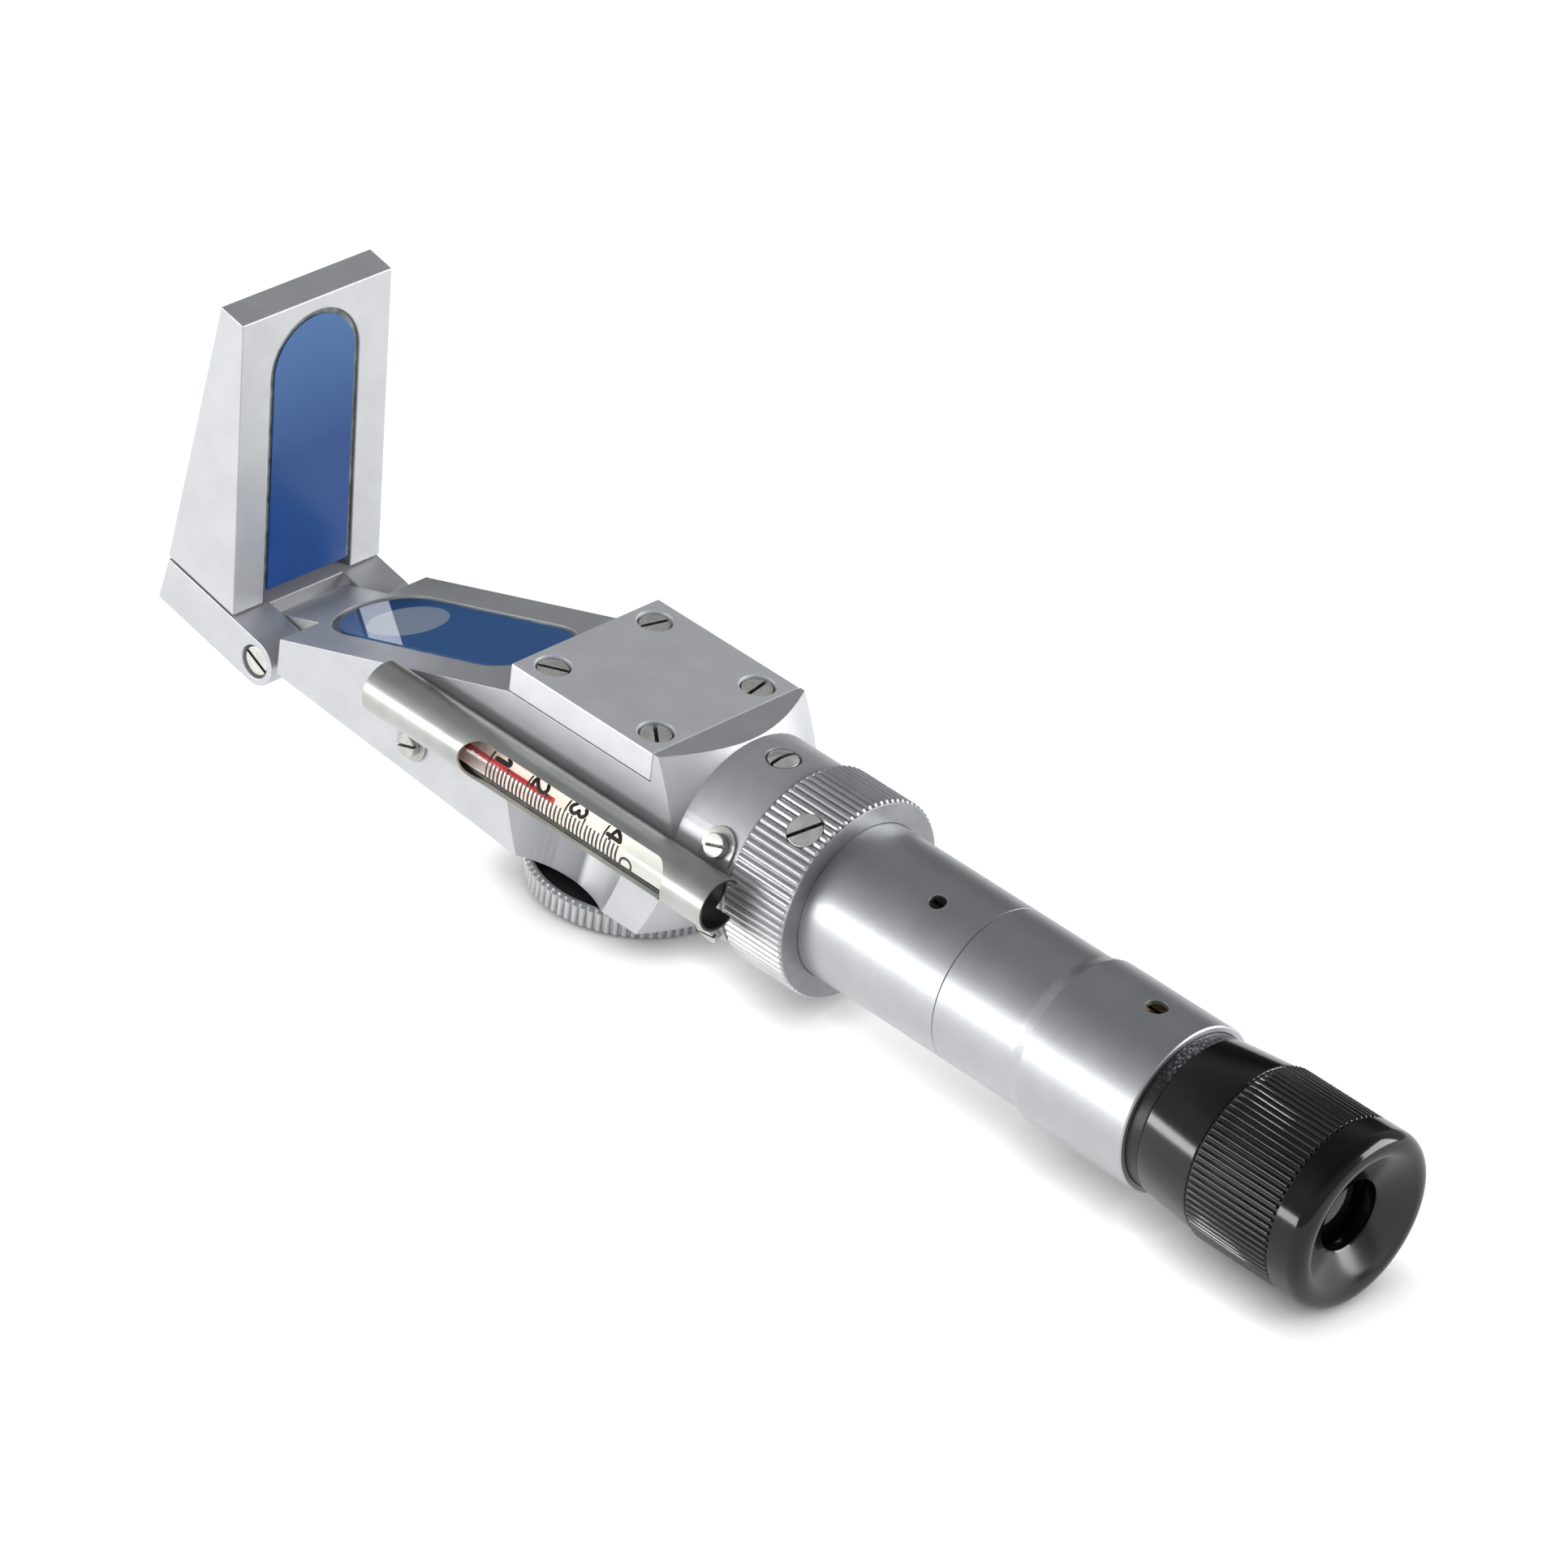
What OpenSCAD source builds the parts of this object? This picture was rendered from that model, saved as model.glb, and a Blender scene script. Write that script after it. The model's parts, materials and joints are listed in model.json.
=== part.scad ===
// Hand refractometer: prism body with a hinged lid, side thermometer, dispersion ring,
// scale wheel, telescope tube and a focusing eyepiece. Sizes are in millimetres.
// Every piece is drawn about the telescope axis (X towards the eye, Z up, X = 0 at the
// nose of the prism body) and then moved to the row frame by at_row().

/* [Prism body] */
// width of the prism body, lid and hinge fork
body_w = 35; // [34.6:0.1:35.6]
// height of the body's flat top above the telescope axis
body_top = 17.8; // [17.6:0.1:18.2]
// depth of the body's level underside below the telescope axis
body_bottom = 18.1; // [17.9:0.1:18.3]
// depth of the nose's upper edge below the telescope axis
nose_top = 6.25; // [6:0.05:6.5]
// depth of the nose's lower edge below the telescope axis
nose_bottom = 13.4; // [13:0.1:13.8]
// length of the sloping prism face along the telescope axis
slope_run = 55.1; // [54.6:0.1:55.6]
// distance from the nose at which the underside turns level
belly_x = 60; // [57:0.5:62]
// distance from the nose to the point where the turned shoulder meets the neck
neck_x = 96; // [95.5:0.1:96.5]
// radius of the round neck
neck_r = 17.6; // [17.5:0.05:17.7]
// length of the neck
neck_l = 13.2; // [13:0.1:13.4]
// length of the turned shoulder along the axis
shoulder_l = 6.3; // [5.8:0.1:6.8]
// rise of the turned shoulder from the neck to its largest radius
shoulder_rise = 8.4; // [8:0.1:8.8]
// radius of the light passage from the prism to the neck
passage_r = 9.5; // [8.5:0.1:10]
// radius of the finger scoops in the sides
scoop_r = 22.2; // [21.5:0.1:23]
// depth of a scoop at the underside
scoop_depth = 2.7; // [2.4:0.1:3]
// height of a scoop above the underside, along its lean
scoop_h = 16; // [15:0.5:17]
// lean of a scoop away from upright, in degrees
scoop_lean = 14.2; // [13:0.1:16]
// distance from the nose to the middle of the scoops
scoop_x = 71.5; // [71:0.1:72]
// distance from the front of the neck to its top screw
neck_screw_x = 6.8; // [6.6:0.1:7]
// depth of that screw's seat below the neck
neck_screw_sink = 1.4; // [1.3:0.1:1.6]

/* [Cover plate] */
// thickness of the cover plate
plate_t = 5.6; // [5.3:0.1:5.9]
// length of the cover plate
plate_l = 34.2; // [33.8:0.1:34.6]
// distance from the plate's ends to its screws
plate_screw_in = 4.7; // [4.4:0.1:5.2]
// distance from the plate's sides to its screws
plate_screw_side = 5.4; // [5.2:0.1:5.8]
// depth of the sunk seats of the plate screws
plate_seat_h = 2.2; // [1.9:0.1:2.4]

/* [Prisms] */
// half width of the prism windows in body and lid
window_r = 10.4; // [10.2:0.1:10.6]
// width of the cement line round both prisms
cement_w = 1; // [0.8:0.05:1.2]
// place of the body window's front arc centre along the slope
window_front = 9.7; // [9.5:0.1:10]
// place of the body window's rear arc centre along the slope
window_rear = 42.2; // [41.5:0.1:42.5]
// depth of the measuring prism below the slope
prism_h = 5; // [4.5:0.1:5.5]
// depth of the prism faces below their metal frames
glass_sink = 0.12; // [0.08:0.01:0.2]
// depth of the cement below the prism frames
cement_sink = 0.45; // [0.3:0.05:0.6]
// depth of the cement joint
cement_h = 2; // [1.5:0.1:2.5]

/* [Lid] */
// angle by which the lid is shown open, in degrees
lid_open = 75.2; // [74:0.1:76]
// length of the lid along the prism face
lid_l = 56.9; // [56.5:0.1:57]
// height of the lid at its thin end
lid_thin = 5.8; // [5.6:0.1:6]
// height of the lid at its hinge end
lid_thick = 17.6; // [17.4:0.1:17.8]
// lean of the lid's end faces from upright when it is shut, in degrees
lid_lean = 3.3; // [3:0.1:3.6]
// gap left between the two prism faces for the sample
sample_gap = 0.35; // [0.25:0.05:0.4]
// thickness of the lid's back wall behind its prism
lid_wall = 1.8; // [1.6:0.1:2.2]
// distance from the lid's hinge end to the lower edge of its prism
lid_glass_foot = 2.2; // [2:0.1:2.6]
// distance from the lid's hinge end to the middle of its round window end
lid_arc = 43.9; // [43.5:0.1:44.2]
// distance from the hinge end to the start of the light window in the lid's back
light_foot = 9; // [8:0.5:11]
// half width of the light window in the lid's back
light_r = 7.5; // [7:0.1:8]
// distance between the ends' centres of the light window in the lid's back
light_l = 24; // [20:0.5:26]
// thickness of that window's pane
light_glass_t = 1.2; // [1:0.1:1.4]

/* [Hinge] */
// distance of the hinge axis in front of the nose
hinge_x = 5.75; // [5.65:0.05:5.85]
// depth of the hinge axis below the telescope axis
hinge_z = 13.93; // [13.8:0.01:14.05]
// half thickness and end radius of the fork
fork_r = 4.45; // [4.4:0.05:4.5]
// gap between the fork and the lid's end
fork_clear = 0.5; // [0.5:0.02:0.56]
// length of the fork from the hinge axis to its far end
fork_l = 24.7; // [24.4:0.1:25]
// half distance between the fork's arms
fork_gap = 8.65; // [8.6:0.05:8.8]
// distance from the hinge axis to the web between the arms
web_l = 7.2; // [7.1:0.1:7.4]
// half width of the lug on the nose
lug_r = 8.2; // [8:0.05:8.25]
// distance from the hinge axis to the front of the lug
lug_front = 4.65; // [4.5:0.05:4.7]
// radius of the hinge pins in the arms
pin_r = 1.75; // [1.6:0.05:1.9]
// radius of the pins' threaded ends in the lug
pin_thread_r = 1.4; // [1.3:0.05:1.5]
// distance from the hinge axis to the screws that hold the fork on the lid
fork_screw_l = 18.4; // [18:0.1:19]
// distance of those screws from the fork's sides
fork_screw_side = 4.5; // [4.3:0.1:4.7]
// depth of the pin heads below the fork's sides
pin_sink = 0.5; // [0.4:0.1:0.8]
// length of the pins' threaded ends
pin_thread_l = 5; // [4.5:0.5:6]

/* [Screws] */
// radius of the larger cheese heads
head_r = 2.7; // [2.6:0.05:2.8]
// height of the larger cheese heads
head_h = 1.7; // [1.6:0.05:1.8]
// radius of the sunk seats of the larger heads
seat_r = 3.15; // [3.1:0.05:3.2]
// width of the screwdriver slots
slot_w = 0.7; // [0.6:0.05:0.8]
// depth of the screwdriver slots
slot_h = 0.8; // [0.7:0.05:0.9]
// radius of the larger screws' shanks
shank_r = 1.5; // [1.4:0.05:1.55]
// length of the larger screws' shanks
shank_l = 6; // [5:0.5:6.5]
// radius of the small heads on the thermometer holder
small_head_r = 2.15; // [2:0.05:2.2]
// height of the small heads
small_head_h = 1.4; // [1.3:0.05:1.5]
// radius of the small screws' shanks
small_shank_r = 1; // [0.9:0.05:1.1]
// turns of the four plate screws' slots, in degrees
plate_slots = [30, 75, 140, 100];
// turn of the neck screw's slot, in degrees
neck_slot = 87; // [0:1:180]
// turn of the hinge pins' slots, in degrees
pin_slot = 155; // [0:1:180]
// turn of the fork screws' slots, in degrees
fork_slot = 75; // [0:1:180]
// turn of the holder screws' slots, in degrees
holder_slot = 18; // [0:1:180]
// turn of the ring screw's slot, in degrees
ring_slot = 55; // [0:1:180]

/* [Fits] */
// play round shanks in their holes
shank_play = 0.03; // [0.02:0.01:0.05]
// running play on round sliding fits
run_play = 0.05; // [0.04:0.01:0.07]
// gap between bodies that move past each other
move_gap = 0.3; // [0.3:0.02:0.4]
// width of the parting lines between fixed pieces
seam_w = 0.12; // [0.08:0.01:0.16]

/* [Thermometer] */
// outer radius of the thermometer holder
holder_r = 4.85; // [4.8:0.05:4.9]
// sheet thickness of the holder
holder_t = 0.5; // [0.45:0.01:0.55]
// distance from the nose to the holder's front end
holder_x = 30.5; // [30:0.1:31]
// distance by which the holder runs past the end of the neck
holder_over = 3.3; // [2.8:0.1:3.5]
// height of the holder's axis above the telescope axis
holder_z = 2.1; // [1.9:0.1:2.3]
// gap between the holder and the body's side
holder_off = 0.1; // [0.05:0.01:0.15]
// gap kept between the holder and the dispersion ring
ring_clear = 1; // [0.8:0.1:1.2]
// distance from the nose to the front of the reading window
reading_x = 54; // [53.5:0.1:55]
// length of the reading window
reading_l = 49; // [48.5:0.1:49.3]
// half height of the reading window
reading_r = 4.1; // [4:0.05:4.15]
// corner radius at the reading window's rear end
reading_corner = 3.2; // [3:0.1:3.5]
// distance from the nose to the holder's front screw
tab_x = 34.2; // [34:0.1:34.5]
// depth of the front screw below the telescope axis
tab_z = 9.3; // [9.1:0.1:9.5]
// radius of the rounded ends of tab and ears
tab_r = 3.4; // [3.3:0.05:3.45]
// distance from the front of the neck to the ear screws
ear_x = 9.1; // [9:0.1:9.2]
// place of the upper ear screw round the neck from the top, in degrees
ear_high = 65; // [64:1:66]
// place of the lower ear screw round the neck from the top, in degrees
ear_low = 121; // [120:1:122]
// outer radius of the glass
glass_r = 3.9; // [3.85:0.01:3.95]
// wall of the glass
glass_t = 0.6; // [0.5:0.05:0.7]
// distance from the holder's front end to the glass
glass_in = 1.2; // [1:0.1:1.6]
// distance by which the glass stops short of the end of the neck
glass_clear = 2.5; // [2:0.1:3.5]
// length of each packing ring between glass and holder
packing_l = 3.2; // [2.8:0.1:3.5]
// thickness of the scale strip
scale_t = 0.5; // [0.4:0.05:0.6]
// half width of the scale strip
scale_r = 2.9; // [2.8:0.05:3]
// distance from the front end of the glass to the scale strip
strip_x = 20; // [18:0.5:22]
// radius of the capillary
capillary_r = 0.55; // [0.5:0.01:0.6]
// depth of the capillary below the glass's axis
capillary_drop = 0.25; // [0.1:0.05:0.4]
// distance from the nose to the end of the liquid column
column_x = 73.1; // [60:0.5:90]
// radius of the bulb
bulb_r = 2.6; // [2.4:0.05:2.8]
// length of the bulb
bulb_l = 8; // [7:0.5:9]

/* [Dispersion ring] */
// radius of the ring over its ribs
ring_r = 18.65; // [18.5:0.05:18.7]
// depth of the grooves between the ribs
rib_h = 0.4; // [0.35:0.01:0.5]
// number of ribs round the ring
ring_ribs = 80; // [76:2:84]
// length of the ring
ring_l = 13.7; // [13.6:0.05:13.75]
// width of the ring's edge chamfers
ring_edge = 0.45; // [0.35:0.05:0.5]
// place of the ring's screw round the axis from the top, in degrees
ring_screw_at = 33.6; // [33:0.1:34]
// distance from the ring's front face to its screw
ring_screw_x = 8.6; // [8.4:0.1:8.8]
// radius of the ring screw's head
ring_head_r = 3.2; // [3.1:0.05:3.3]
// angle by which the ring turns each way, in degrees
ring_swing = 60; // [50:5:60]
// side play of the ring's screw at the ends of its slot
swing_play = 0.5; // [0.4:0.1:0.8]
// length of the prism cell that turns with the ring
cell_l = 26; // [24:0.5:26.5]
// distance from the ring's front face to the cell's front end, inside the neck
cell_in = 6; // [5:0.5:7]
// wall of the prism cell
cell_t = 1.8; // [1.6:0.1:2]
// width of the prisms in the cell
amici_w = 12; // [11:0.5:13]

/* [Telescope tube] */
// radius of the front and middle tubes
tube_r = 14.5; // [14.4:0.05:14.55]
// wall of the front tube
tube_t = 1.3; // [1.2:0.05:1.4]
// length of the front tube hidden in the neck
tube_in = 9; // [8.5:0.5:10]
// distance from the nose to the seam between front and middle tube
seam_x = 154.1; // [153.5:0.1:154.5]
// distance from the nose to the step up to the thicker rear tube
step_x = 171.2; // [170.8:0.1:171.6]
// length of the step
step_l = 2.9; // [2.6:0.1:3.1]
// radius of the thicker rear tube
rear_r = 15.38; // [15.3:0.02:15.45]
// distance from the nose to the rear tube's end
tube_end_x = 197.3; // [197:0.1:197.6]
// radius of the rear tube's bore
rear_bore_r = 14.27; // [14.25:0.01:14.3]
// length of the joint sleeve inside the middle tube
sleeve_l = 9; // [8:0.5:10]
// length of that sleeve's root inside the front tube
sleeve_root = 2.5; // [2:0.1:2.6]
// distance from the nose to the seat of the eyepiece in the rear tube
rear_seat_x = 176; // [175.5:0.5:177]
// width of the chamfer on the rear tube's end
tube_edge = 0.25; // [0.2:0.05:0.4]
// length of the objective cell
objective_l = 14; // [13:0.5:14]
// radius of the lenses in the tube
objective_r = 10; // [9.5:0.1:10.5]
// thickness of the lenses
lens_t = 5; // [4.5:0.1:5.2]
// length of the reticle cell
reticle_l = 6; // [5:0.5:7]
// thickness of the reticle
reticle_t = 1.5; // [1.2:0.1:1.8]
// distance from the nose to the objective's set screws
grub_x = 144.2; // [144:0.1:144.5]
// radius of the set screws
grub_r = 1.5; // [1.4:0.05:1.6]
// place of the first set screw round the axis from the top, in degrees
grub_at = 20.7; // [20:0.1:21.5]
// distance from the nose to the brass guide screw
guide_x = 188.3; // [188.1:0.1:188.5]
// radius of the guide screw
guide_r = 1.9; // [1.85:0.01:1.95]
// depth of the guide screw's head below the rear tube's surface
guide_sink = 0.9; // [0.7:0.1:1]

/* [Eyepiece] */
// radius of the threaded collar that turns in the rear tube
collar_r = 14.2; // [14.19:0.01:14.22]
// length of the collar seen behind the tube at rest
collar_l = 3; // [2.9:0.1:3.2]
// length of the collar inside the tube
collar_in = 4.6; // [4.4:0.1:4.8]
// radius at the start of the flared barrel
flare_low = 14.55; // [14.5:0.05:14.6]
// radius at the end of the flared barrel
flare_high = 15.7; // [15.6:0.05:15.75]
// distance from the nose to the end of the flared barrel
flare_x = 211.5; // [211.2:0.1:211.8]
// radius of the focusing grip over its ribs
grip_r = 16.1; // [16:0.02:16.15]
// length of the focusing grip
grip_l = 18; // [17.8:0.1:18.2]
// number of ribs round the grip
grip_ribs = 80; // [76:2:84]
// radius of the eyecup
cup_r = 16.2; // [16.1:0.05:16.3]
// distance from the nose to the eyecup's rear face
cup_x = 236.4; // [236.2:0.1:236.6]
// radius of the rounded rim of the eyecup
cup_round = 2.6; // [2.4:0.1:2.8]
// inner radius of the eyecup's rim
cup_rim_r = 12.6; // [12.4:0.1:12.8]
// radius of the eye opening
eye_r = 6.45; // [6.4:0.05:6.5]
// depth of the dished face of the eyecup
dish_h = 3.4; // [3.2:0.1:3.6]
// thickness of the eyecup at the eye opening
web_t = 2; // [1.8:0.1:2.2]
// radius of the lens carrier inside the barrel
carrier_r = 12.6; // [12.5:0.05:12.65]
// wall of the lens carrier
carrier_t = 1.6; // [1.5:0.1:1.8]
// depth of the guide slot in the lens carrier
carrier_key_h = 1.2; // [1:0.05:1.4]
// distance from the nose to the field lens
field_x = 200; // [196:1:205]
// gap between the lens retainer and the eyecup
lens_gap = 0.6; // [0.5:0.05:0.8]
// length of the lens retainer
retainer_l = 1.6; // [1.4:0.1:1.8]
// radius of the lens retainer's opening
retainer_r = 9; // [8.5:0.1:9.5]
// travel of the eyepiece per turn
lead = 6; // [5.5:0.5:6.5]
// turn of the eyepiece inwards, in degrees
focus_in = 90; // [80:5:90]
// turn of the eyepiece outwards, in degrees
focus_out = 170; // [160:5:170]

/* [Scale wheel] */
// radius of the thumb wheel over its ribs
wheel_r = 19.6; // [19.5:0.05:19.7]
// thickness of the thumb wheel
wheel_t = 4.18; // [4.1:0.02:4.3]
// gap between the body's underside and the wheel
wheel_gap = 0.35; // [0.3:0.05:0.4]
// distance from the nose to the wheel's axis
wheel_x = 72.9; // [72.7:0.1:73.1]
// number of ribs round the wheel
wheel_ribs = 79; // [75:1:83]
// depth of the grooves between the wheel's ribs
wheel_rib_h = 0.6; // [0.5:0.05:0.7]
// radius of the dark disc in the wheel's top
disc_r = 18.1; // [17.9:0.05:18.2]
// depth of the recess over the dark disc
disc_sink = 1.1; // [1:0.1:1.3]
// thickness of the dark disc
disc_t = 0.8; // [0.7:0.05:0.9]
// radius of the wheel's hub
hub_r = 5; // [4.5:0.1:5.5]
// radius of the wheel's pivot
pivot_r = 2.2; // [2:0.05:2.4]
// radius of the pivot's head
pivot_head_r = 3.6; // [3.4:0.05:3.8]
// height of the pivot's head
pivot_head_h = 1.6; // [1.5:0.05:1.7]
// depth of the pivot's head above the wheel's underside
pivot_sink = 0.5; // [0.4:0.1:0.6]
// length of the pivot in the body
pivot_in = 5; // [4:0.5:6]

/* [Hidden] */
$fn = 96;
// how far a cut runs past the solid it cuts
over = 1;
// a cut's wedge is this much longer than the solid, as a share of it
long_share = 3;
half_w = body_w / 2;

// the slope: height rises by this share of the distance from the nose
slope_end = body_top - plate_t;
slope_a = atan2(slope_end + nose_top, slope_run);
function slope_z(x) = x * tan(slope_a) - nose_top;

shoulder_x = neck_x - shoulder_l;
neck_end = neck_x + neck_l;
plate_end = slope_run + plate_l;

// the hinge: lid and fork are drawn shut and turned about this axis
hinge = [-hinge_x, 0, -hinge_z];
lid_end_a = 90 + lid_lean;
lid_near = fork_r + fork_clear;
// direction along the fork and across it towards the lid, with the lid shut
fork_u = [cos(lid_end_a), sin(lid_end_a)];
fork_n = [sin(lid_end_a), -cos(lid_end_a)];
pin_xz = [-hinge_x, -hinge_z];
lug_x = -hinge_x - lug_front;
// where the line of the lid's hinge end crosses the lid's inner face
face_drop = sample_gap / cos(slope_a);
near_pt = pin_xz + lid_near * fork_n;
near_k = (slope_z(near_pt[0]) + face_drop - near_pt[1])
    / (fork_u[1] - fork_u[0] * tan(slope_a));
lid_foot = near_pt + near_k * fork_u;

// the ring, the tube and the eyepiece along the axis
ring_x = neck_end + move_gap;
tube_in_x = neck_end - tube_in;
tube_bore_r = tube_r - tube_t;
// the neck screw holds the front tube and stops short of its bore
neck_screw_l = neck_r - neck_screw_sink - tube_bore_r - 2 * run_play;
sleeve_r = tube_bore_r;
cell_r = tube_bore_r - run_play;
cell_x = ring_x - cell_in;
collar_x = tube_end_x - collar_in;
grip_x = flare_x + move_gap;
cup_back = grip_x + grip_l;
carrier_step = collar_x - move_gap;
focus_rest_in = lead * focus_in / 360;
focus_rest_out = lead * focus_out / 360;
cup_floor = cup_x - dish_h - web_t;
eye_lens_x = cup_floor - lens_gap - lens_t;

// the wheel
wheel_top = body_bottom + wheel_gap;
floor_z = wheel_top + wheel_t;
pivot_room = pivot_sink + pivot_head_h + move_gap;
pivot_stem = wheel_t + wheel_gap + pivot_in - pivot_head_h - pivot_sink;

// the holder lies against whichever stands out further, the body's side or the neck
holder_wall_y = max(half_w + holder_off, neck_r);
holder_y = holder_wall_y + holder_r;
holder_l = neck_end + holder_over - holder_x;
glass_x = holder_x + glass_in;
glass_l = neck_end - glass_clear - glass_x;
// its small screws stop short of the tube inside the neck, their holes run into its bore
small_shank_l = neck_r - tube_r - move_gap;
small_hole_l = neck_r - tube_bore_r;
bulb_x = glass_x + glass_t + shank_play;

// the box round the whole part, in the telescope frame
open_u = [cos(lid_end_a + lid_open), sin(lid_end_a + lid_open)];
open_n = [sin(lid_end_a + lid_open), -cos(lid_end_a + lid_open)];
low_x = (pin_xz + fork_l * open_u - fork_r * open_n)[0];
row_x = (low_x + cup_x) / 2;
row_y = (wheel_r - holder_y - holder_r) / 2;

// frames
module at_row() { translate([-row_x, -row_y, floor_z]) children(); }
// a piece drawn with the lid shut, turned to the shown opening
module opened() {
    translate(hinge) rotate([0, -lid_open, 0]) translate(-hinge) children();
}
// a profile of X and Z, given the width it runs across Y
module across(w) {
    translate([0, w / 2, 0]) rotate([90, 0, 0]) linear_extrude(height = w) children();
}
// a solid of revolution about the telescope axis, from a profile of radius and X
module turned() { rotate([0, 90, 0]) rotate_extrude() children(); }
// a rod along X from x0, of length l
module rod(x0, l, r) { translate([x0, 0, 0]) rotate([0, 90, 0]) cylinder(h = l, r = r); }
module pipe(x0, l, r, bore) {
    difference() {
        rod(x0, l, r);
        rod(x0 - over, l + 2 * over, bore);
    }
}
// children drawn up from the surface at radius r, at angle a from the top towards -Y
module on_round(x, r, a) {
    translate([x, 0, 0]) rotate([a, 0, 0]) translate([0, 0, r]) children();
}
// children drawn up from the prism face at distance u from the nose
module on_slope(u) {
    translate([0, 0, -nose_top]) rotate([0, -slope_a, 0]) translate([u, 0, 0]) children();
}
// the same on the lid's inner face, looking into the lid
module on_lid(u) {
    translate([lid_foot[0], 0, lid_foot[1]]) rotate([0, -slope_a, 0])
        translate([u, 0, 0]) children();
}

// shared shapes
module screw(r, h, sr, sl, turn = 0) {
    difference() {
        union() {
            cylinder(h = h - slot_w / 2, r = r);
            translate([0, 0, h - slot_w / 2]) cylinder(h = slot_w / 2, r1 = r, r2 = r - slot_w / 2);
            translate([0, 0, -sl]) cylinder(h = sl + slot_w / 2, r = sr);
        }
        rotate(turn) translate([-r - over, -slot_w / 2, h - slot_h])
            cube([2 * r + 2 * over, slot_w, slot_h + over]);
    }
}
// a slotless hole with a sunk seat: the seat opens upwards
module seat(r, h, sr, sl) {
    cylinder(h = h + over, r = r);
    translate([0, 0, -sl - shank_play]) cylinder(h = sl + over, r = sr + shank_play);
}
// the outline of a ribbed rim: flat-bottomed grooves between ribs
module ribbed(r, h, count) {
    crest_share = 0.2;
    floor_share = 0.12;
    half_share = 0.5;
    corners = [[-crest_share, r], [crest_share, r],
        [half_share - floor_share, r - h], [half_share + floor_share, r - h]];
    polygon([for (i = [0:count - 1]) for (c = corners)
        c[1] * [cos((i + c[0]) * 360 / count), sin((i + c[0]) * 360 / count)]]);
}
// a band about the telescope axis between two radii and two angles from the top towards -Y
module arc_band(x0, l, r0, r1, a0, a1) {
    rotate([0, 90, 0]) rotate_extrude(start = 180 + a0, angle = a1 - a0)
        translate([r0, x0]) square([r1 - r0, l]);
}
// a window outline: arcs of radius r at u0 and u1 joined by straight sides
module window(u0, u1, r) {
    translate([u0, 0]) circle(r = r);
    translate([u0, -r]) square([u1 - u0, 2 * r]);
    translate([u1, 0]) circle(r = r);
}
// an arch: straight from u0 and round at u1
module arch(u0, u1, r) {
    translate([u0, -r]) square([u1 - u0, 2 * r]);
    translate([u1, 0]) circle(r = r);
}
module plate_screw_places() {
    for (x = [slope_run + plate_screw_in, plate_end - plate_screw_in])
        for (y = [-half_w + plate_screw_side, half_w - plate_screw_side])
            translate([x, y, body_top - plate_seat_h]) children();
}
module both_sides() {
    children();
    mirror([0, 1, 0]) children();
}

// prism body
module body_profile() {
    polygon([[lug_x, -hinge_z], [lug_x, slope_z(lug_x)], [slope_run, slope_end],
        [plate_end + seam_w, slope_end], [plate_end + seam_w, body_top],
        [neck_x, body_top], [neck_x, -body_bottom], [belly_x, -body_bottom], [0, -nose_bottom]]);
}
// the lug's rounded underside, which runs into the nose
module lug_profile() {
    union() {
        polygon([[pin_r, -nose_bottom], [-hinge_x, -hinge_z - lug_front], [-hinge_x, -hinge_z]]);
        translate(pin_xz) circle(r = lug_front);
    }
}
// the space beside the lug where the fork's arms turn
module nose_notch() {
    translate([lug_x - over, lug_r, -body_bottom - over])
        cube([-lug_x + over, half_w, body_bottom + over]);
}
// the turned shoulder and the neck bound the block from behind
module turned_bound() {
    turned() polygon([[0, -hinge_x * long_share], [neck_r + shoulder_rise, -hinge_x * long_share],
        [neck_r + shoulder_rise, shoulder_x], [neck_r, neck_x], [0, neck_x]]);
}
module scoop() {
    translate([scoop_x, -half_w + scoop_depth, -body_bottom]) rotate([-scoop_lean, 0, 0])
        translate([0, -scoop_r, -scoop_r]) cylinder(h = scoop_r + scoop_h, r = scoop_r);
}
module prism_body() {
    color([0.76, 0.77, 0.78]) at_row() difference() {
        union() {
            intersection() {
                difference() {
                    across(body_w) body_profile();
                    both_sides() nose_notch();
                }
                turned_bound();
            }
            across(2 * lug_r) lug_profile();
            rod(shoulder_x, neck_end - shoulder_x, neck_r);
        }
        on_slope(0) translate([0, 0, -prism_h]) linear_extrude(height = prism_h + over)
            window(window_front, window_rear, window_r);
        rod(window_rear / 2, neck_end, passage_r);
        rod(tube_in_x, neck_end, tube_r + shank_play);
        both_sides() scoop();
        plate_screw_places() translate([0, 0, -shank_l]) cylinder(h = shank_l, r = shank_r + shank_play);
        translate(hinge) rotate([90, 0, 0])
            cylinder(h = body_w, r = pin_thread_r + shank_play, center = true);
        neck_screw_place() seat(seat_r, plate_seat_h, shank_r, neck_screw_l);
        translate([wheel_x, 0, -body_bottom - over])
            cylinder(h = over + pivot_in + shank_play, r = pivot_r + shank_play);
        holder_screw_places() translate([0, 0, -small_hole_l])
            cylinder(h = small_hole_l + over, r = small_shank_r + shank_play);
    }
}
module neck_screw_place() {
    on_round(neck_x + neck_screw_x, neck_r - neck_screw_sink, 0) children();
}
module neck_screw() {
    color([0.72, 0.71, 0.69]) at_row() neck_screw_place()
        screw(head_r, head_h, shank_r, neck_screw_l, neck_slot);
}
module cover_plate() {
    color([0.75, 0.76, 0.78]) at_row() difference() {
        translate([slope_run, -half_w, slope_end + seam_w])
            cube([plate_l, body_w, plate_t - seam_w]);
        plate_screw_places() seat(seat_r, plate_seat_h, shank_r, plate_t);
    }
}
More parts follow.
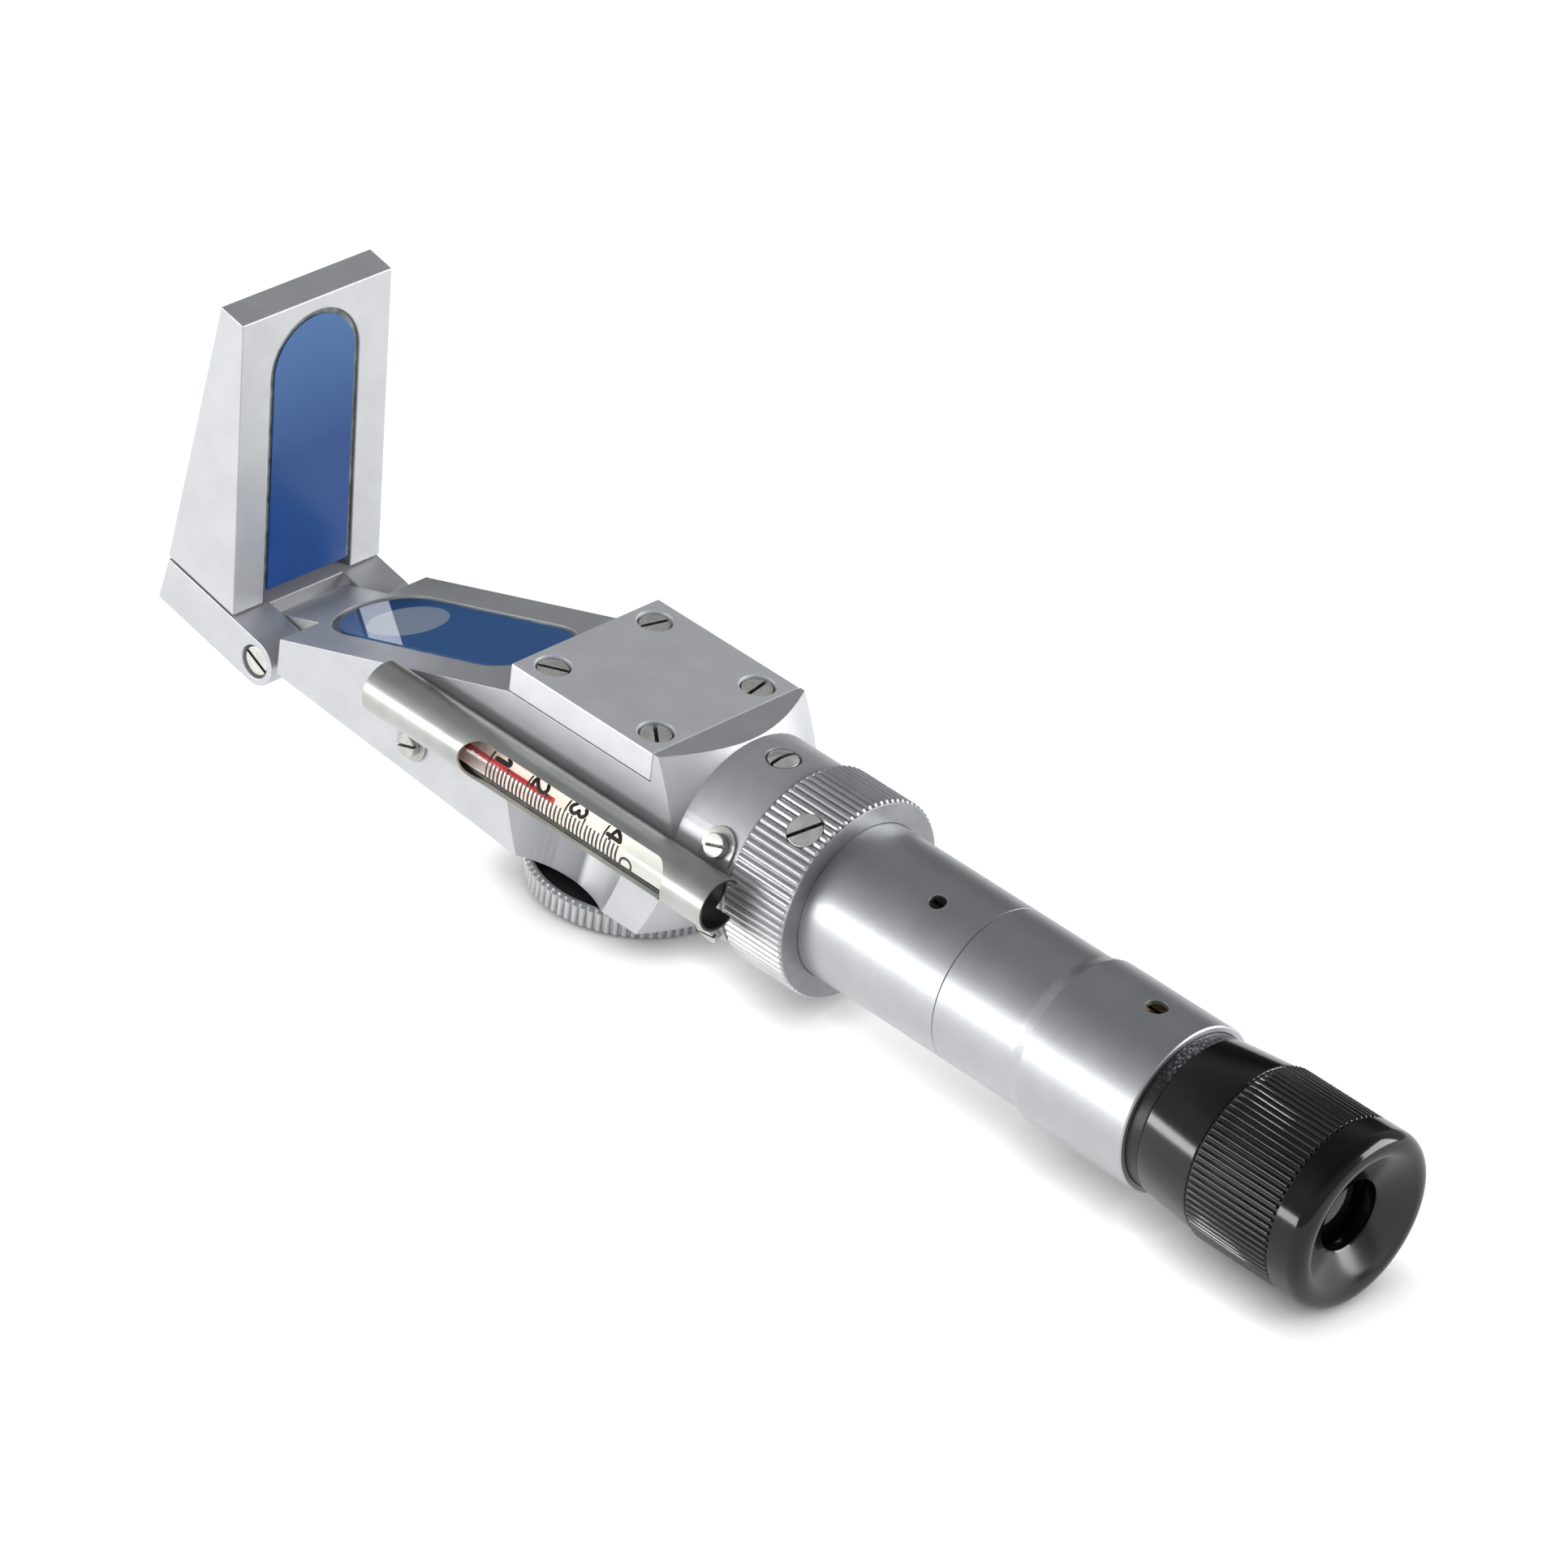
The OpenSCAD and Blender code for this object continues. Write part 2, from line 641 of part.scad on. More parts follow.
module plate_screws() {
    color([0.72, 0.72, 0.71]) at_row() for (i = [0:3]) {
        sx = i < 2 ? plate_screw_in : plate_l - plate_screw_in;
        sy = (i % 2 == 0 ? -1 : 1) * (half_w - plate_screw_side);
        translate([slope_run + sx, sy, body_top - plate_seat_h])
            screw(head_r, head_h, shank_r, shank_l, plate_slots[i]);
    }
}

// measuring prism
module measuring_prism() {
    color([0.25, 0.37, 0.6]) at_row() on_slope(0) translate([0, 0, -prism_h + shank_play])
        linear_extrude(height = prism_h - shank_play - glass_sink)
            window(window_front + cement_w / 2, window_rear, window_r - cement_w);
}
module prism_cement() {
    color([0.45, 0.47, 0.45]) at_row() on_slope(0)
        translate([0, 0, -cement_sink - cement_h]) linear_extrude(height = cement_h) difference() {
            window(window_front, window_rear, window_r);
            window(window_front + cement_w / 2, window_rear, window_r - cement_w);
        }
}

// hinge
pin_seat_h = head_h + pin_sink;
module pin_places() {
    both_sides() translate([-hinge_x, -half_w + pin_seat_h, -hinge_z])
        rotate([90, 0, 0]) children();
}
module hinge_pins() {
    color([0.7, 0.69, 0.66]) at_row() pin_places() union() {
        screw(head_r, head_h, pin_r, half_w - pin_seat_h - fork_gap, pin_slot);
        translate([0, 0, -half_w + pin_seat_h + lug_r - pin_thread_l])
            cylinder(h = pin_thread_l + fork_gap - lug_r, r = pin_thread_r);
    }
}
module fork_screw_places() {
    for (y = [-half_w + fork_screw_side, half_w - fork_screw_side])
        translate([-hinge_x, y, -hinge_z]) rotate([0, -lid_end_a, 0])
            translate([fork_screw_l, 0, fork_r]) children();
}
module hinge_fork() {
    color([0.77, 0.78, 0.78]) at_row() opened() difference() {
        across(body_w) translate(pin_xz) rotate(lid_end_a) union() {
            circle(r = fork_r);
            translate([0, -fork_r]) square([fork_l, 2 * fork_r]);
        }
        across(2 * fork_gap) translate(pin_xz) rotate(lid_end_a)
            translate([-fork_l, -fork_l]) square([fork_l + web_l, 2 * fork_l]);
        translate(hinge) rotate([90, 0, 0])
            cylinder(h = body_w + 2 * over, r = pin_r + run_play, center = true);
        pin_places() cylinder(h = pin_seat_h + over, r = seat_r);
        fork_screw_places() translate([0, 0, -2 * fork_r - over])
            cylinder(h = 2 * fork_r + 2 * over, r = shank_r + shank_play);
    }
}
module fork_screws() {
    color([0.74, 0.73, 0.7]) at_row() opened() fork_screw_places()
        screw(head_r, head_h, shank_r, 2 * fork_r + shank_l, fork_slot);
}

// lid
module lid_profile(wall) {
    a = lid_foot;
    b = lid_foot + lid_l * [cos(slope_a), sin(slope_a)];
    out = [cos(lid_end_a), sin(lid_end_a)];
    polygon([a, b, b + (lid_thin - wall) * out, a + (lid_thick - wall) * out]);
}
module lid_window_cut(r, u0, u1, low, high) {
    on_lid(0) translate([0, 0, low]) linear_extrude(height = high - low) arch(u0, u1, r);
}
// the back face's own frame: at the hinge end's outer edge, along the back
back_a = atan2(lid_l * sin(slope_a) + (lid_thin - lid_thick) * sin(lid_end_a),
    lid_l * cos(slope_a) + (lid_thin - lid_thick) * cos(lid_end_a));
module on_back(u) {
    translate([lid_foot[0] + lid_thick * cos(lid_end_a), 0, lid_foot[1] + lid_thick * sin(lid_end_a)])
        rotate([0, -back_a, 0]) translate([u, 0, 0]) children();
}
module light_shape(r, low, high) {
    on_back(light_foot) translate([0, 0, low]) linear_extrude(height = high - low)
        window(light_r, light_r + light_l, r);
}
module lid_housing() {
    color([0.77, 0.78, 0.8]) at_row() opened() difference() {
        across(body_w) lid_profile(0);
        intersection() {
            across(2 * window_r) lid_profile(lid_wall);
            lid_window_cut(window_r, -lid_thick, lid_arc, -over, lid_thick * 2);
        }
        light_shape(light_r, -lid_wall - over, over);
        fork_screw_places() translate([0, 0, -2 * fork_r - shank_l - shank_play])
            cylinder(h = shank_l + 2 * fork_r, r = shank_r + shank_play);
    }
}
module lid_prism() {
    color([0.3, 0.45, 0.7]) at_row() opened() intersection() {
        across(2 * window_r) lid_profile(lid_wall + shank_play);
        lid_window_cut(window_r - cement_w, lid_glass_foot, lid_arc, glass_sink, lid_thick * 2);
    }
}
module lid_cement() {
    color([0.5, 0.53, 0.5]) at_row() opened() intersection() {
        across(2 * window_r) lid_profile(lid_wall + shank_play);
        difference() {
            lid_window_cut(window_r, lid_glass_foot, lid_arc, cement_sink, cement_sink + cement_h);
            lid_window_cut(window_r - cement_w, lid_glass_foot - over, lid_arc, -over, lid_thick);
        }
    }
}
module light_window() {
    color([0.85, 0.88, 0.9]) at_row() opened()
        light_shape(light_r - shank_play, -light_glass_t - glass_sink, -glass_sink);
}

// thermometer
module holder_screw_places() {
    translate([tab_x, -half_w, -tab_z]) rotate([90, 0, 0]) children();
    for (a = [ear_high, ear_low]) on_round(neck_x + ear_x, neck_r, a) children();
}
module at_holder() { translate([0, -holder_y, holder_z]) children(); }
// the ears and the band between them, which lie on the neck
module ears() {
    lap = asin(tab_r / 2 / neck_r);
    arc_band(neck_x + ear_x - tab_r + seam_w, 2 * (tab_r - seam_w), neck_r + shank_play,
        neck_r + holder_t, ear_high + lap, ear_low - lap);
    for (ear = [[ear_high, 90], [ear_low, -90]]) intersection() {
        pipe(neck_x + ear_x - 2 * tab_r, 4 * tab_r, neck_r + holder_t, neck_r + shank_play);
        on_round(neck_x + ear_x, passage_r, ear[0]) linear_extrude(height = neck_r)
            rotate(ear[1]) arch(-tab_r, 0, tab_r);
    }
}
// a strip that ties the holder's wall to a fixing at x, as far in as y
module tie(x, y) {
    translate([x - tab_r, -holder_wall_y - holder_t, holder_z - 2 * holder_t])
        cube([2 * tab_r, holder_wall_y + holder_t - y, 2 * holder_t]);
}
module reading_cut() {
    rotate([90, 0, 0]) linear_extrude(height = holder_r + over) {
        translate([reading_x + reading_r, 0]) circle(r = reading_r);
        translate([reading_x + reading_r, -reading_r])
            square([reading_l - reading_r - reading_corner, 2 * reading_r]);
        translate([reading_x + reading_r, -reading_r + reading_corner])
            square([reading_l - reading_r, 2 * (reading_r - reading_corner)]);
        for (s = [-1, 1]) translate([reading_x + reading_l - reading_corner,
            s * (reading_r - reading_corner)]) circle(r = reading_corner);
    }
}
// the holder's rear end is cut clear of the ring, which turns beside it
module thermometer_holder() {
    color([0.7, 0.7, 0.68]) at_row() difference() {
        union() {
            at_holder() difference() {
                pipe(holder_x, holder_l, holder_r, holder_r - holder_t);
                reading_cut();
            }
            translate([tab_x - tab_r, -half_w - holder_t, -tab_z])
                cube([2 * tab_r, holder_t, tab_z + holder_z]);
            translate([tab_x, -half_w, -tab_z]) rotate([90, 0, 0]) cylinder(h = holder_t, r = tab_r);
            tie(tab_x, half_w);
            ears();
            tie(neck_x + ear_x, neck_r);
        }
        rod(neck_end - move_gap, holder_l, ring_r + ring_clear);
        holder_screw_places() translate([0, 0, -over])
            cylinder(h = holder_t + 2 * over, r = small_shank_r + shank_play);
    }
}
module holder_screws() {
    color([0.85, 0.85, 0.83]) at_row() holder_screw_places()
        translate([0, 0, holder_t + shank_play])
            screw(small_head_r, small_head_h, small_shank_r, small_shank_l + holder_t, holder_slot);
}
module thermometer_glass() {
    color([0.9, 0.93, 0.93]) at_row() at_holder() difference() {
        rod(glass_x, glass_l, glass_r);
        rod(glass_x + glass_t, glass_l - 2 * glass_t, glass_r - glass_t);
    }
}
module thermometer_packing() {
    color([0.25, 0.24, 0.23]) at_row() at_holder() for (x = [glass_x, glass_x + glass_l - packing_l])
        pipe(x, packing_l, holder_r - holder_t - shank_play, glass_r);
}
module scale_strip() {
    color([0.95, 0.93, 0.88]) at_row() at_holder()
        translate([glass_x + strip_x, 0, -scale_r])
            cube([glass_l - strip_x - 2 * glass_t, scale_t, 2 * scale_r]);
}
module liquid_column() {
    color([0.72, 0.12, 0.1]) at_row() at_holder() union() {
        translate([0, -capillary_r - shank_play, -capillary_drop])
            rod(bulb_x + bulb_l / 2, column_x - bulb_x - bulb_l / 2, capillary_r);
        rod(bulb_x, bulb_l, bulb_r);
    }
}

// dispersion ring
module compensator_ring() {
    color([0.78, 0.79, 0.8]) at_row() difference() {
        intersection() {
            translate([ring_x, 0, 0]) rotate([0, 90, 0]) linear_extrude(height = ring_l)
                ribbed(ring_r, rib_h, ring_ribs);
            turned() polygon([[0, ring_x], [ring_r - ring_edge, ring_x],
                [ring_r + rib_h, ring_x + ring_edge + rib_h],
                [ring_r + rib_h, ring_x + ring_l - ring_edge - rib_h],
                [ring_r - ring_edge, ring_x + ring_l], [0, ring_x + ring_l]]);
        }
        rod(ring_x - over, ring_l + 2 * over, tube_r + run_play);
        on_round(ring_x + ring_screw_x, ring_r - head_h, ring_screw_at)
            seat(ring_head_r + shank_play, head_h, shank_r, 2 * shank_l);
    }
}
module ring_screw() {
    color([0.74, 0.75, 0.76]) at_row() on_round(ring_x + ring_screw_x, ring_r - head_h, ring_screw_at)
        screw(ring_head_r, head_h, shank_r, ring_r - head_h - cell_r + cell_t / 2, ring_slot);
}
module compensator_cell() {
    color([0.2, 0.2, 0.2]) at_row() difference() {
        pipe(cell_x, cell_l, cell_r, cell_r - cell_t);
        on_round(ring_x + ring_screw_x, 0, ring_screw_at) cylinder(h = ring_r, r = shank_r + shank_play);
    }
}
module compensator_prisms() {
    third = cell_l / 3;
    color([0.8, 0.88, 0.9]) at_row() intersection() {
        rod(cell_x, cell_l, cell_r - cell_t - shank_play);
        across(amici_w) for (i = [0:2]) polygon([
            [cell_x + i * third + shank_play, (i % 2 == 0 ? -1 : 1) * cell_r],
            [cell_x + (i + 1) * third - shank_play, (i % 2 == 0 ? -1 : 1) * cell_r],
            [cell_x + (i + 1) * third - shank_play, (i % 2 == 0 ? 1 : -1) * amici_w / 2],
            [cell_x + i * third + shank_play, (i % 2 == 0 ? 1 : -1) * amici_w / 2]]);
    }
}

// telescope tube
// the angle a shank needs each side of its swing in the slot
slot_side = asin((shank_r + swing_play) / tube_bore_r);
module front_tube() {
    color([0.76, 0.77, 0.78]) at_row() difference() {
        union() {
            pipe(tube_in_x, seam_x - tube_in_x, tube_r, tube_bore_r);
            pipe(seam_x - sleeve_root, sleeve_root + sleeve_l, sleeve_r, sleeve_r - tube_t);
        }
        neck_screw_place() translate([0, 0, -tube_r])
            cylinder(h = 2 * tube_r, r = shank_r + shank_play);
        arc_band(ring_x + ring_screw_x - shank_r - swing_play, 2 * (shank_r + swing_play),
            cell_r - cell_t, tube_r + over, ring_screw_at - ring_swing - slot_side,
            ring_screw_at + ring_swing + slot_side);
        for (a = [0, 120, 240]) on_round(grub_x, 0, grub_at + a)
            cylinder(h = 2 * tube_r, r = grub_r + shank_play);
    }
}
module rear_tube() {
    color([0.76, 0.77, 0.78]) at_row() difference() {
        turned() polygon([[sleeve_r + shank_play, seam_x + seam_w], [tube_r, seam_x + seam_w],
            [tube_r, step_x], [rear_r, step_x + step_l], [rear_r, tube_end_x - tube_edge],
            [rear_r - tube_edge, tube_end_x], [rear_bore_r, tube_end_x],
            [rear_bore_r, rear_seat_x], [sleeve_r + shank_play, rear_seat_x]]);
        on_round(guide_x, 0, 0) cylinder(h = 2 * rear_r, r = guide_r + shank_play);
    }
}
module set_screws() {
    color([0.3, 0.3, 0.3]) at_row() for (a = [0, 120, 240])
        on_round(grub_x, tube_bore_r - tube_t / 2, grub_at + a) difference() {
            cylinder(h = tube_t, r = grub_r);
            translate([-tube_r, -slot_w / 2, tube_t - slot_w]) cube([2 * tube_r, slot_w, slot_h + over]);
        }
}
module objective_cell() {
    color([0.15, 0.15, 0.15]) at_row() difference() {
        pipe(grub_x - objective_l / 2, objective_l, tube_bore_r - shank_play, objective_r);
        for (a = [0, 120, 240]) on_round(grub_x, tube_bore_r - tube_t / 2 - shank_play, grub_at + a)
            cylinder(h = 2 * tube_t, r = grub_r + shank_play);
    }
}
module objective_lens() {
    color([0.8, 0.88, 0.9]) at_row() rod(grub_x - lens_t / 2, lens_t, objective_r);
}
module reticle_cell() {
    color([0.15, 0.15, 0.15]) at_row()
        pipe(rear_seat_x - reticle_l, reticle_l, sleeve_r, objective_r);
}
module reticle() {
    color([0.85, 0.9, 0.92]) at_row() rod(rear_seat_x - reticle_l / 2, reticle_t, objective_r);
}
module guide_screw() {
    color([0.62, 0.5, 0.28]) at_row() on_round(guide_x, carrier_key_r, 0) difference() {
        cylinder(h = rear_r - guide_sink - carrier_key_r, r = guide_r);
        translate([-guide_r - over, -slot_w / 2, rear_r - guide_sink - carrier_key_r - slot_h])
            cube([2 * guide_r + 2 * over, slot_w, slot_h + over]);
    }
}

// eyepiece
carrier_key_r = collar_r - carrier_key_h + shank_play;
carrier_front = guide_x - focus_rest_out - guide_r - 2 * over;
module lens_carrier() {
    color([0.12, 0.12, 0.12]) at_row() difference() {
        union() {
            rod(carrier_front, carrier_step - carrier_front, collar_r);
            rod(carrier_front, eye_lens_x + lens_t - carrier_front, carrier_r);
        }
        rod(carrier_front - over, holder_l, carrier_r - carrier_t);
        translate([guide_x - focus_rest_out - guide_r - run_play, -guide_r - run_play,
            collar_r - carrier_key_h])
            cube([focus_rest_out + focus_rest_in + 2 * guide_r + 2 * run_play,
                2 * guide_r + 2 * run_play, carrier_key_h + over]);
    }
}
module field_lens() {
    color([0.8, 0.88, 0.9]) at_row() rod(field_x, lens_t, carrier_r - carrier_t);
}
module eye_lens() {
    color([0.3, 0.35, 0.4]) at_row() rod(eye_lens_x, lens_t - retainer_l, carrier_r - carrier_t);
}
module lens_retainer() {
    color([0.1, 0.1, 0.1]) at_row()
        pipe(eye_lens_x + lens_t - retainer_l, retainer_l, carrier_r - carrier_t, retainer_r);
}
barrel_bore = carrier_r + run_play;
module eyepiece_barrel() {
    color([0.1, 0.1, 0.1]) at_row() turned() polygon([[barrel_bore, collar_x], [collar_r, collar_x],
        [collar_r, tube_end_x + collar_l], [flare_low, tube_end_x + collar_l],
        [flare_high, flare_x], [flare_high, grip_x], [flare_high - tube_t, grip_x],
        [flare_high - tube_t, cup_back], [barrel_bore, cup_back]]);
}
module focus_grip() {
    color([0.13, 0.13, 0.13]) at_row() difference() {
        intersection() {
            translate([grip_x, 0, 0]) rotate([0, 90, 0]) linear_extrude(height = grip_l - seam_w)
                ribbed(grip_r, rib_h, grip_ribs);
            turned() polygon([[0, grip_x], [grip_r - ring_edge, grip_x],
                [grip_r + rib_h, grip_x + ring_edge + rib_h], [grip_r + rib_h, cup_back],
                [0, cup_back]]);
        }
        rod(grip_x - over, grip_l + 2 * over, flare_high - tube_t);
    }
}
module eyecup() {
    rim_x = cup_x - cup_round;
    color([0.08, 0.08, 0.08]) at_row() turned() difference() {
        union() {
            polygon([[eye_r, cup_back], [cup_r, cup_back], [cup_r, rim_x], [cup_rim_r, cup_x],
                [eye_r, cup_x - dish_h]]);
            intersection() {
                translate([cup_r - cup_round, rim_x]) circle(r = cup_round);
                square([cup_r, cup_x]);
            }
        }
        polygon([[0, 0], [eye_r, 0], [eye_r, cup_back], [barrel_bore, cup_back],
            [barrel_bore, cup_floor], [eye_r, cup_floor], [eye_r, cup_x], [0, cup_x]]);
    }
}

// scale wheel
module at_wheel() { translate([wheel_x, 0, -floor_z]) children(); }
module thumb_wheel() {
    color([0.75, 0.76, 0.77]) at_row() at_wheel() difference() {
        linear_extrude(height = wheel_t) rotate(90) ribbed(wheel_r, wheel_rib_h, wheel_ribs);
        difference() {
            translate([0, 0, wheel_t - disc_sink - disc_t]) cylinder(h = wheel_t, r = disc_r);
            cylinder(h = wheel_t, r = hub_r);
        }
        translate([0, 0, -over]) cylinder(h = wheel_t + 2 * over, r = pivot_r + run_play);
        translate([0, 0, -over]) cylinder(h = over + pivot_room, r = pivot_head_r + move_gap);
    }
}
module wheel_disc() {
    color([0.1, 0.1, 0.11]) at_row() at_wheel() difference() {
        translate([0, 0, wheel_t - disc_sink - disc_t]) cylinder(h = disc_t, r = disc_r - shank_play);
        cylinder(h = wheel_t, r = hub_r + shank_play);
    }
}
module wheel_pivot() {
    color([0.7, 0.7, 0.68]) at_row() at_wheel() translate([0, 0, pivot_head_h + pivot_sink])
        rotate([180, 0, 0]) screw(pivot_head_r, pivot_head_h, pivot_r, pivot_stem);
}

prism_body();
cover_plate();
plate_screws();
measuring_prism();
prism_cement();
hinge_pins();
neck_screw();
lid_housing();
lid_prism();
lid_cement();
light_window();
hinge_fork();
fork_screws();
thermometer_holder();
holder_screws();
thermometer_glass();
thermometer_packing();
scale_strip();
liquid_column();
compensator_ring();
ring_screw();
compensator_cell();
compensator_prisms();
front_tube();
rear_tube();
set_screws();
objective_cell();
objective_lens();
reticle_cell();
reticle();
guide_screw();
lens_carrier();
field_lens();
eye_lens();
lens_retainer();
eyepiece_barrel();
focus_grip();
eyecup();
thumb_wheel();
wheel_disc();
wheel_pivot();
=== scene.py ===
# %% [markdown]
# # Dressing a hand refractometer
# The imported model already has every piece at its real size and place, so this lesson only
# gives each piece its finish and the small forms that a machine shop leaves on it: broken
# edges, ribs, slotted screws and the thermometer's marks. Everything is built in metres, in
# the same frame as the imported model, and each new piece rides on the body that carries it.

import json
from math import cos, degrees, pi, radians, sin, tan

import bmesh
import bpy
from mathutils import Matrix, Vector

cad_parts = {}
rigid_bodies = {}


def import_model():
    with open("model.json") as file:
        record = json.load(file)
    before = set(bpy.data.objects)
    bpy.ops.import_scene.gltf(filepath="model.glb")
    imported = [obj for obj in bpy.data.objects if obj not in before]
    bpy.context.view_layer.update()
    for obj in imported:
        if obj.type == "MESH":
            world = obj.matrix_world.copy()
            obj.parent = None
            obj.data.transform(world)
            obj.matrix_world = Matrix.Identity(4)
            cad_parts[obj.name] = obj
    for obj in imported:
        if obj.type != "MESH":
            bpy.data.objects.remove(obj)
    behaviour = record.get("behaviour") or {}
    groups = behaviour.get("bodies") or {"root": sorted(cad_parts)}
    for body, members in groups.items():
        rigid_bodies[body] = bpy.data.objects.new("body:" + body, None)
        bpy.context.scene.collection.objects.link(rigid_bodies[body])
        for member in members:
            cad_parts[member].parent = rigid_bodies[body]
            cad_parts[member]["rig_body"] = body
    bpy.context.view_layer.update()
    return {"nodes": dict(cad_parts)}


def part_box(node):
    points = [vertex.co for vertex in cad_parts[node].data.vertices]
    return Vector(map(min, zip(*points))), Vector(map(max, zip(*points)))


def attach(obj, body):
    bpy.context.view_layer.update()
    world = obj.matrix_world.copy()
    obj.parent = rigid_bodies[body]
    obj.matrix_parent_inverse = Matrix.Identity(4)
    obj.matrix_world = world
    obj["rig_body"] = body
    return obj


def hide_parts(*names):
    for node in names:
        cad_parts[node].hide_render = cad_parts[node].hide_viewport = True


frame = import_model()
MM = 0.001

# %% [markdown]
# The workshop drawing of such an instrument measures everything from one line, the axis of
# the telescope. The cover plate is a plain block, so its box tells exactly where that axis
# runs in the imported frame, and a small function turns drawing sizes into places.

# %% The telescope axis
PLATE_FROM_NOSE, PLATE_TOP = 55.1, 17.8
plate_low, plate_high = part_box("cover_plate")
AXIS = Vector((plate_low.x - PLATE_FROM_NOSE * MM, (plate_low.y + plate_high.y) / 2,
               plate_high.z - PLATE_TOP * MM))


def at(x, y, z):
    """A place in the frame from millimetres along, across and above the telescope axis."""
    return AXIS + Vector((x, y, z)) * MM


print("axis of the telescope starts at", [round(v, 5) for v in AXIS])

# %% [markdown]
# The instrument was shot from the right, a third of the way up, with a very long lens, so
# parallel edges stay almost parallel. The camera is set first, from the same axis.

# %% Camera
CAMERA_RIGHT = Vector((0.70721, 0.69849, 0.10941))
CAMERA_AHEAD = Vector((-0.54543, 0.63748, -0.54418))
CAMERA_STANDS = (865.5, -890.5, 772.9)
camera_up = CAMERA_RIGHT.cross(CAMERA_AHEAD).normalized()
lens = bpy.data.cameras.new("long_lens")
lens.lens, lens.sensor_width = 192.03, 36
lens.clip_start, lens.clip_end = 0.05, 50
camera = bpy.data.objects.new("long_lens", lens)
turn = Matrix((CAMERA_RIGHT.normalized(), camera_up, -CAMERA_AHEAD.normalized())).transposed()
camera.matrix_world = Matrix.Translation(at(*CAMERA_STANDS)) @ turn.to_4x4()
bpy.context.scene.collection.objects.link(camera)
bpy.context.scene.camera = camera
print("camera stands", round((camera.location - at(110, 0, 0)).length, 3), "m away")

# %% [markdown]
# Every finish below is a small graph of nodes. Two helpers keep them short: one turns the
# hex colours of a paint card into linear light, the other adds a node, its settings and its
# links in one line.

# %% Colour and node helpers
def linear(card):
    """A paint card's hex colour as linear light."""
    shares = [int(card[i:i + 2], 16) / 255 for i in (0, 2, 4)]
    return (*[c / 12.92 if c <= 0.04045 else ((c + 0.055) / 1.055) ** 2.4 for c in shares], 1)


def add(tree, kind, inputs=None, stops=(), **settings):
    """A node with its settings. An input is a value or another node's output."""
    node = tree.nodes.new(kind)
    for name, value in settings.items():
        setattr(node, name, value)
    for key, value in (inputs or {}).items():
        if isinstance(value, bpy.types.NodeSocket):
            tree.links.new(value, node.inputs[key])
        else:
            node.inputs[key].default_value = value
    for i, (place, card) in enumerate(stops):
        ramp = node.color_ramp.elements
        stop = ramp[i] if i < 2 else ramp.new(place)
        stop.position, stop.color = place, linear(card)
    return node


def blank(name, card, roughness, metallic=0.0, **sockets):
    """A named finish with the even values set on the shader's own sockets."""
    made = bpy.data.materials.new(name)
    made.use_nodes = True
    shader = made.node_tree.nodes["Principled BSDF"]
    shader.inputs["Base Color"].default_value = linear(card)
    shader.inputs["Roughness"].default_value = roughness
    shader.inputs["Metallic"].default_value = metallic
    for key, value in sockets.items():
        shader.inputs[key.replace("_", " ")].default_value = value
    return made, made.node_tree, shader


print("a mid grey card in linear light:", round(linear("808080")[0], 4))

# %% [markdown]
# Machined metal shows two things at once: a fine grain from the tool or the blasting grit,
# and very faint clouds where hands and cleaning have changed the sheen. One function makes
# both. The grain is a noise at the grit's real size, stretched along the direction in which
# the metal was brushed or turned, and it drives both the roughness and a tiny bump.

# %% A function for machined finishes
def machined(name, dark, light, rough, grain, stretch=(1, 1, 1), bump=0.1, cloud=7, metallic=1.0,
             **sockets):
    """dark, light: hex colours of the clouds. rough: lowest and highest. grain, cloud: mm."""
    made, tree, shader = blank(name, light, rough[0], metallic, **sockets)
    place = add(tree, "ShaderNodeTexCoord").outputs["Object"]
    drawn = add(tree, "ShaderNodeMapping", {"Vector": place, "Scale": stretch}).outputs[0]
    grit = add(tree, "ShaderNodeTexNoise", {"Vector": drawn, "Scale": 1 / (grain * MM),
                                            "Detail": 3.0, "Roughness": 0.6}).outputs[0]
    clouds = add(tree, "ShaderNodeTexNoise", {"Vector": place, "Scale": 1 / (cloud * MM),
                                              "Detail": 2.0}).outputs[0]
    tint = add(tree, "ShaderNodeValToRGB", {"Fac": clouds}, [(0.35, dark), (0.65, light)])
    sheen = add(tree, "ShaderNodeMapRange", {"Value": grit, "From Min": 0.3, "From Max": 0.7,
                                             "To Min": rough[0], "To Max": rough[1]})
    relief = add(tree, "ShaderNodeBump", {"Height": grit, "Strength": bump,
                                          "Distance": 0.05 * MM})
    tree.links.new(tint.outputs[0], shader.inputs["Base Color"])
    tree.links.new(sheen.outputs[0], shader.inputs["Roughness"])
    tree.links.new(relief.outputs[0], shader.inputs["Normal"])
    return made


# Bead-blasted and clear anodised aluminium: a soft grey-white sheen without sharp mirrors.
# The grit's dents are drawn at 0.3 mm, about three times too coarse, so that they show.
satin_aluminium = machined("satin_anodised_aluminium", "BFC1C3", "C5C7C9", (0.42, 0.52), 0.3,
                           bump=0.2, metallic=0.64)
# The telescope tubes were turned before they were blasted and keep a tighter highlight.
satin_tube = machined("satin_anodised_tube", "B6B8BA", "BCBEC0", (0.36, 0.44), 0.3, bump=0.22,
                      metallic=0.86)
# The cover plate comes from another batch and is a little lighter than the body.
satin_plate = machined("satin_anodised_plate", "D4D6D9", "DADCDF", (0.42, 0.52), 0.3, bump=0.2,
                       metallic=0.45)
# The same alloy turned on a lathe after blasting, a touch smoother, on ribs and rings.
turned_aluminium = machined("turned_aluminium", "BCBEBF", "C8C9CA", (0.3, 0.38), 0.2,
                            (1, 0.3, 0.3), bump=0.12, metallic=0.7)
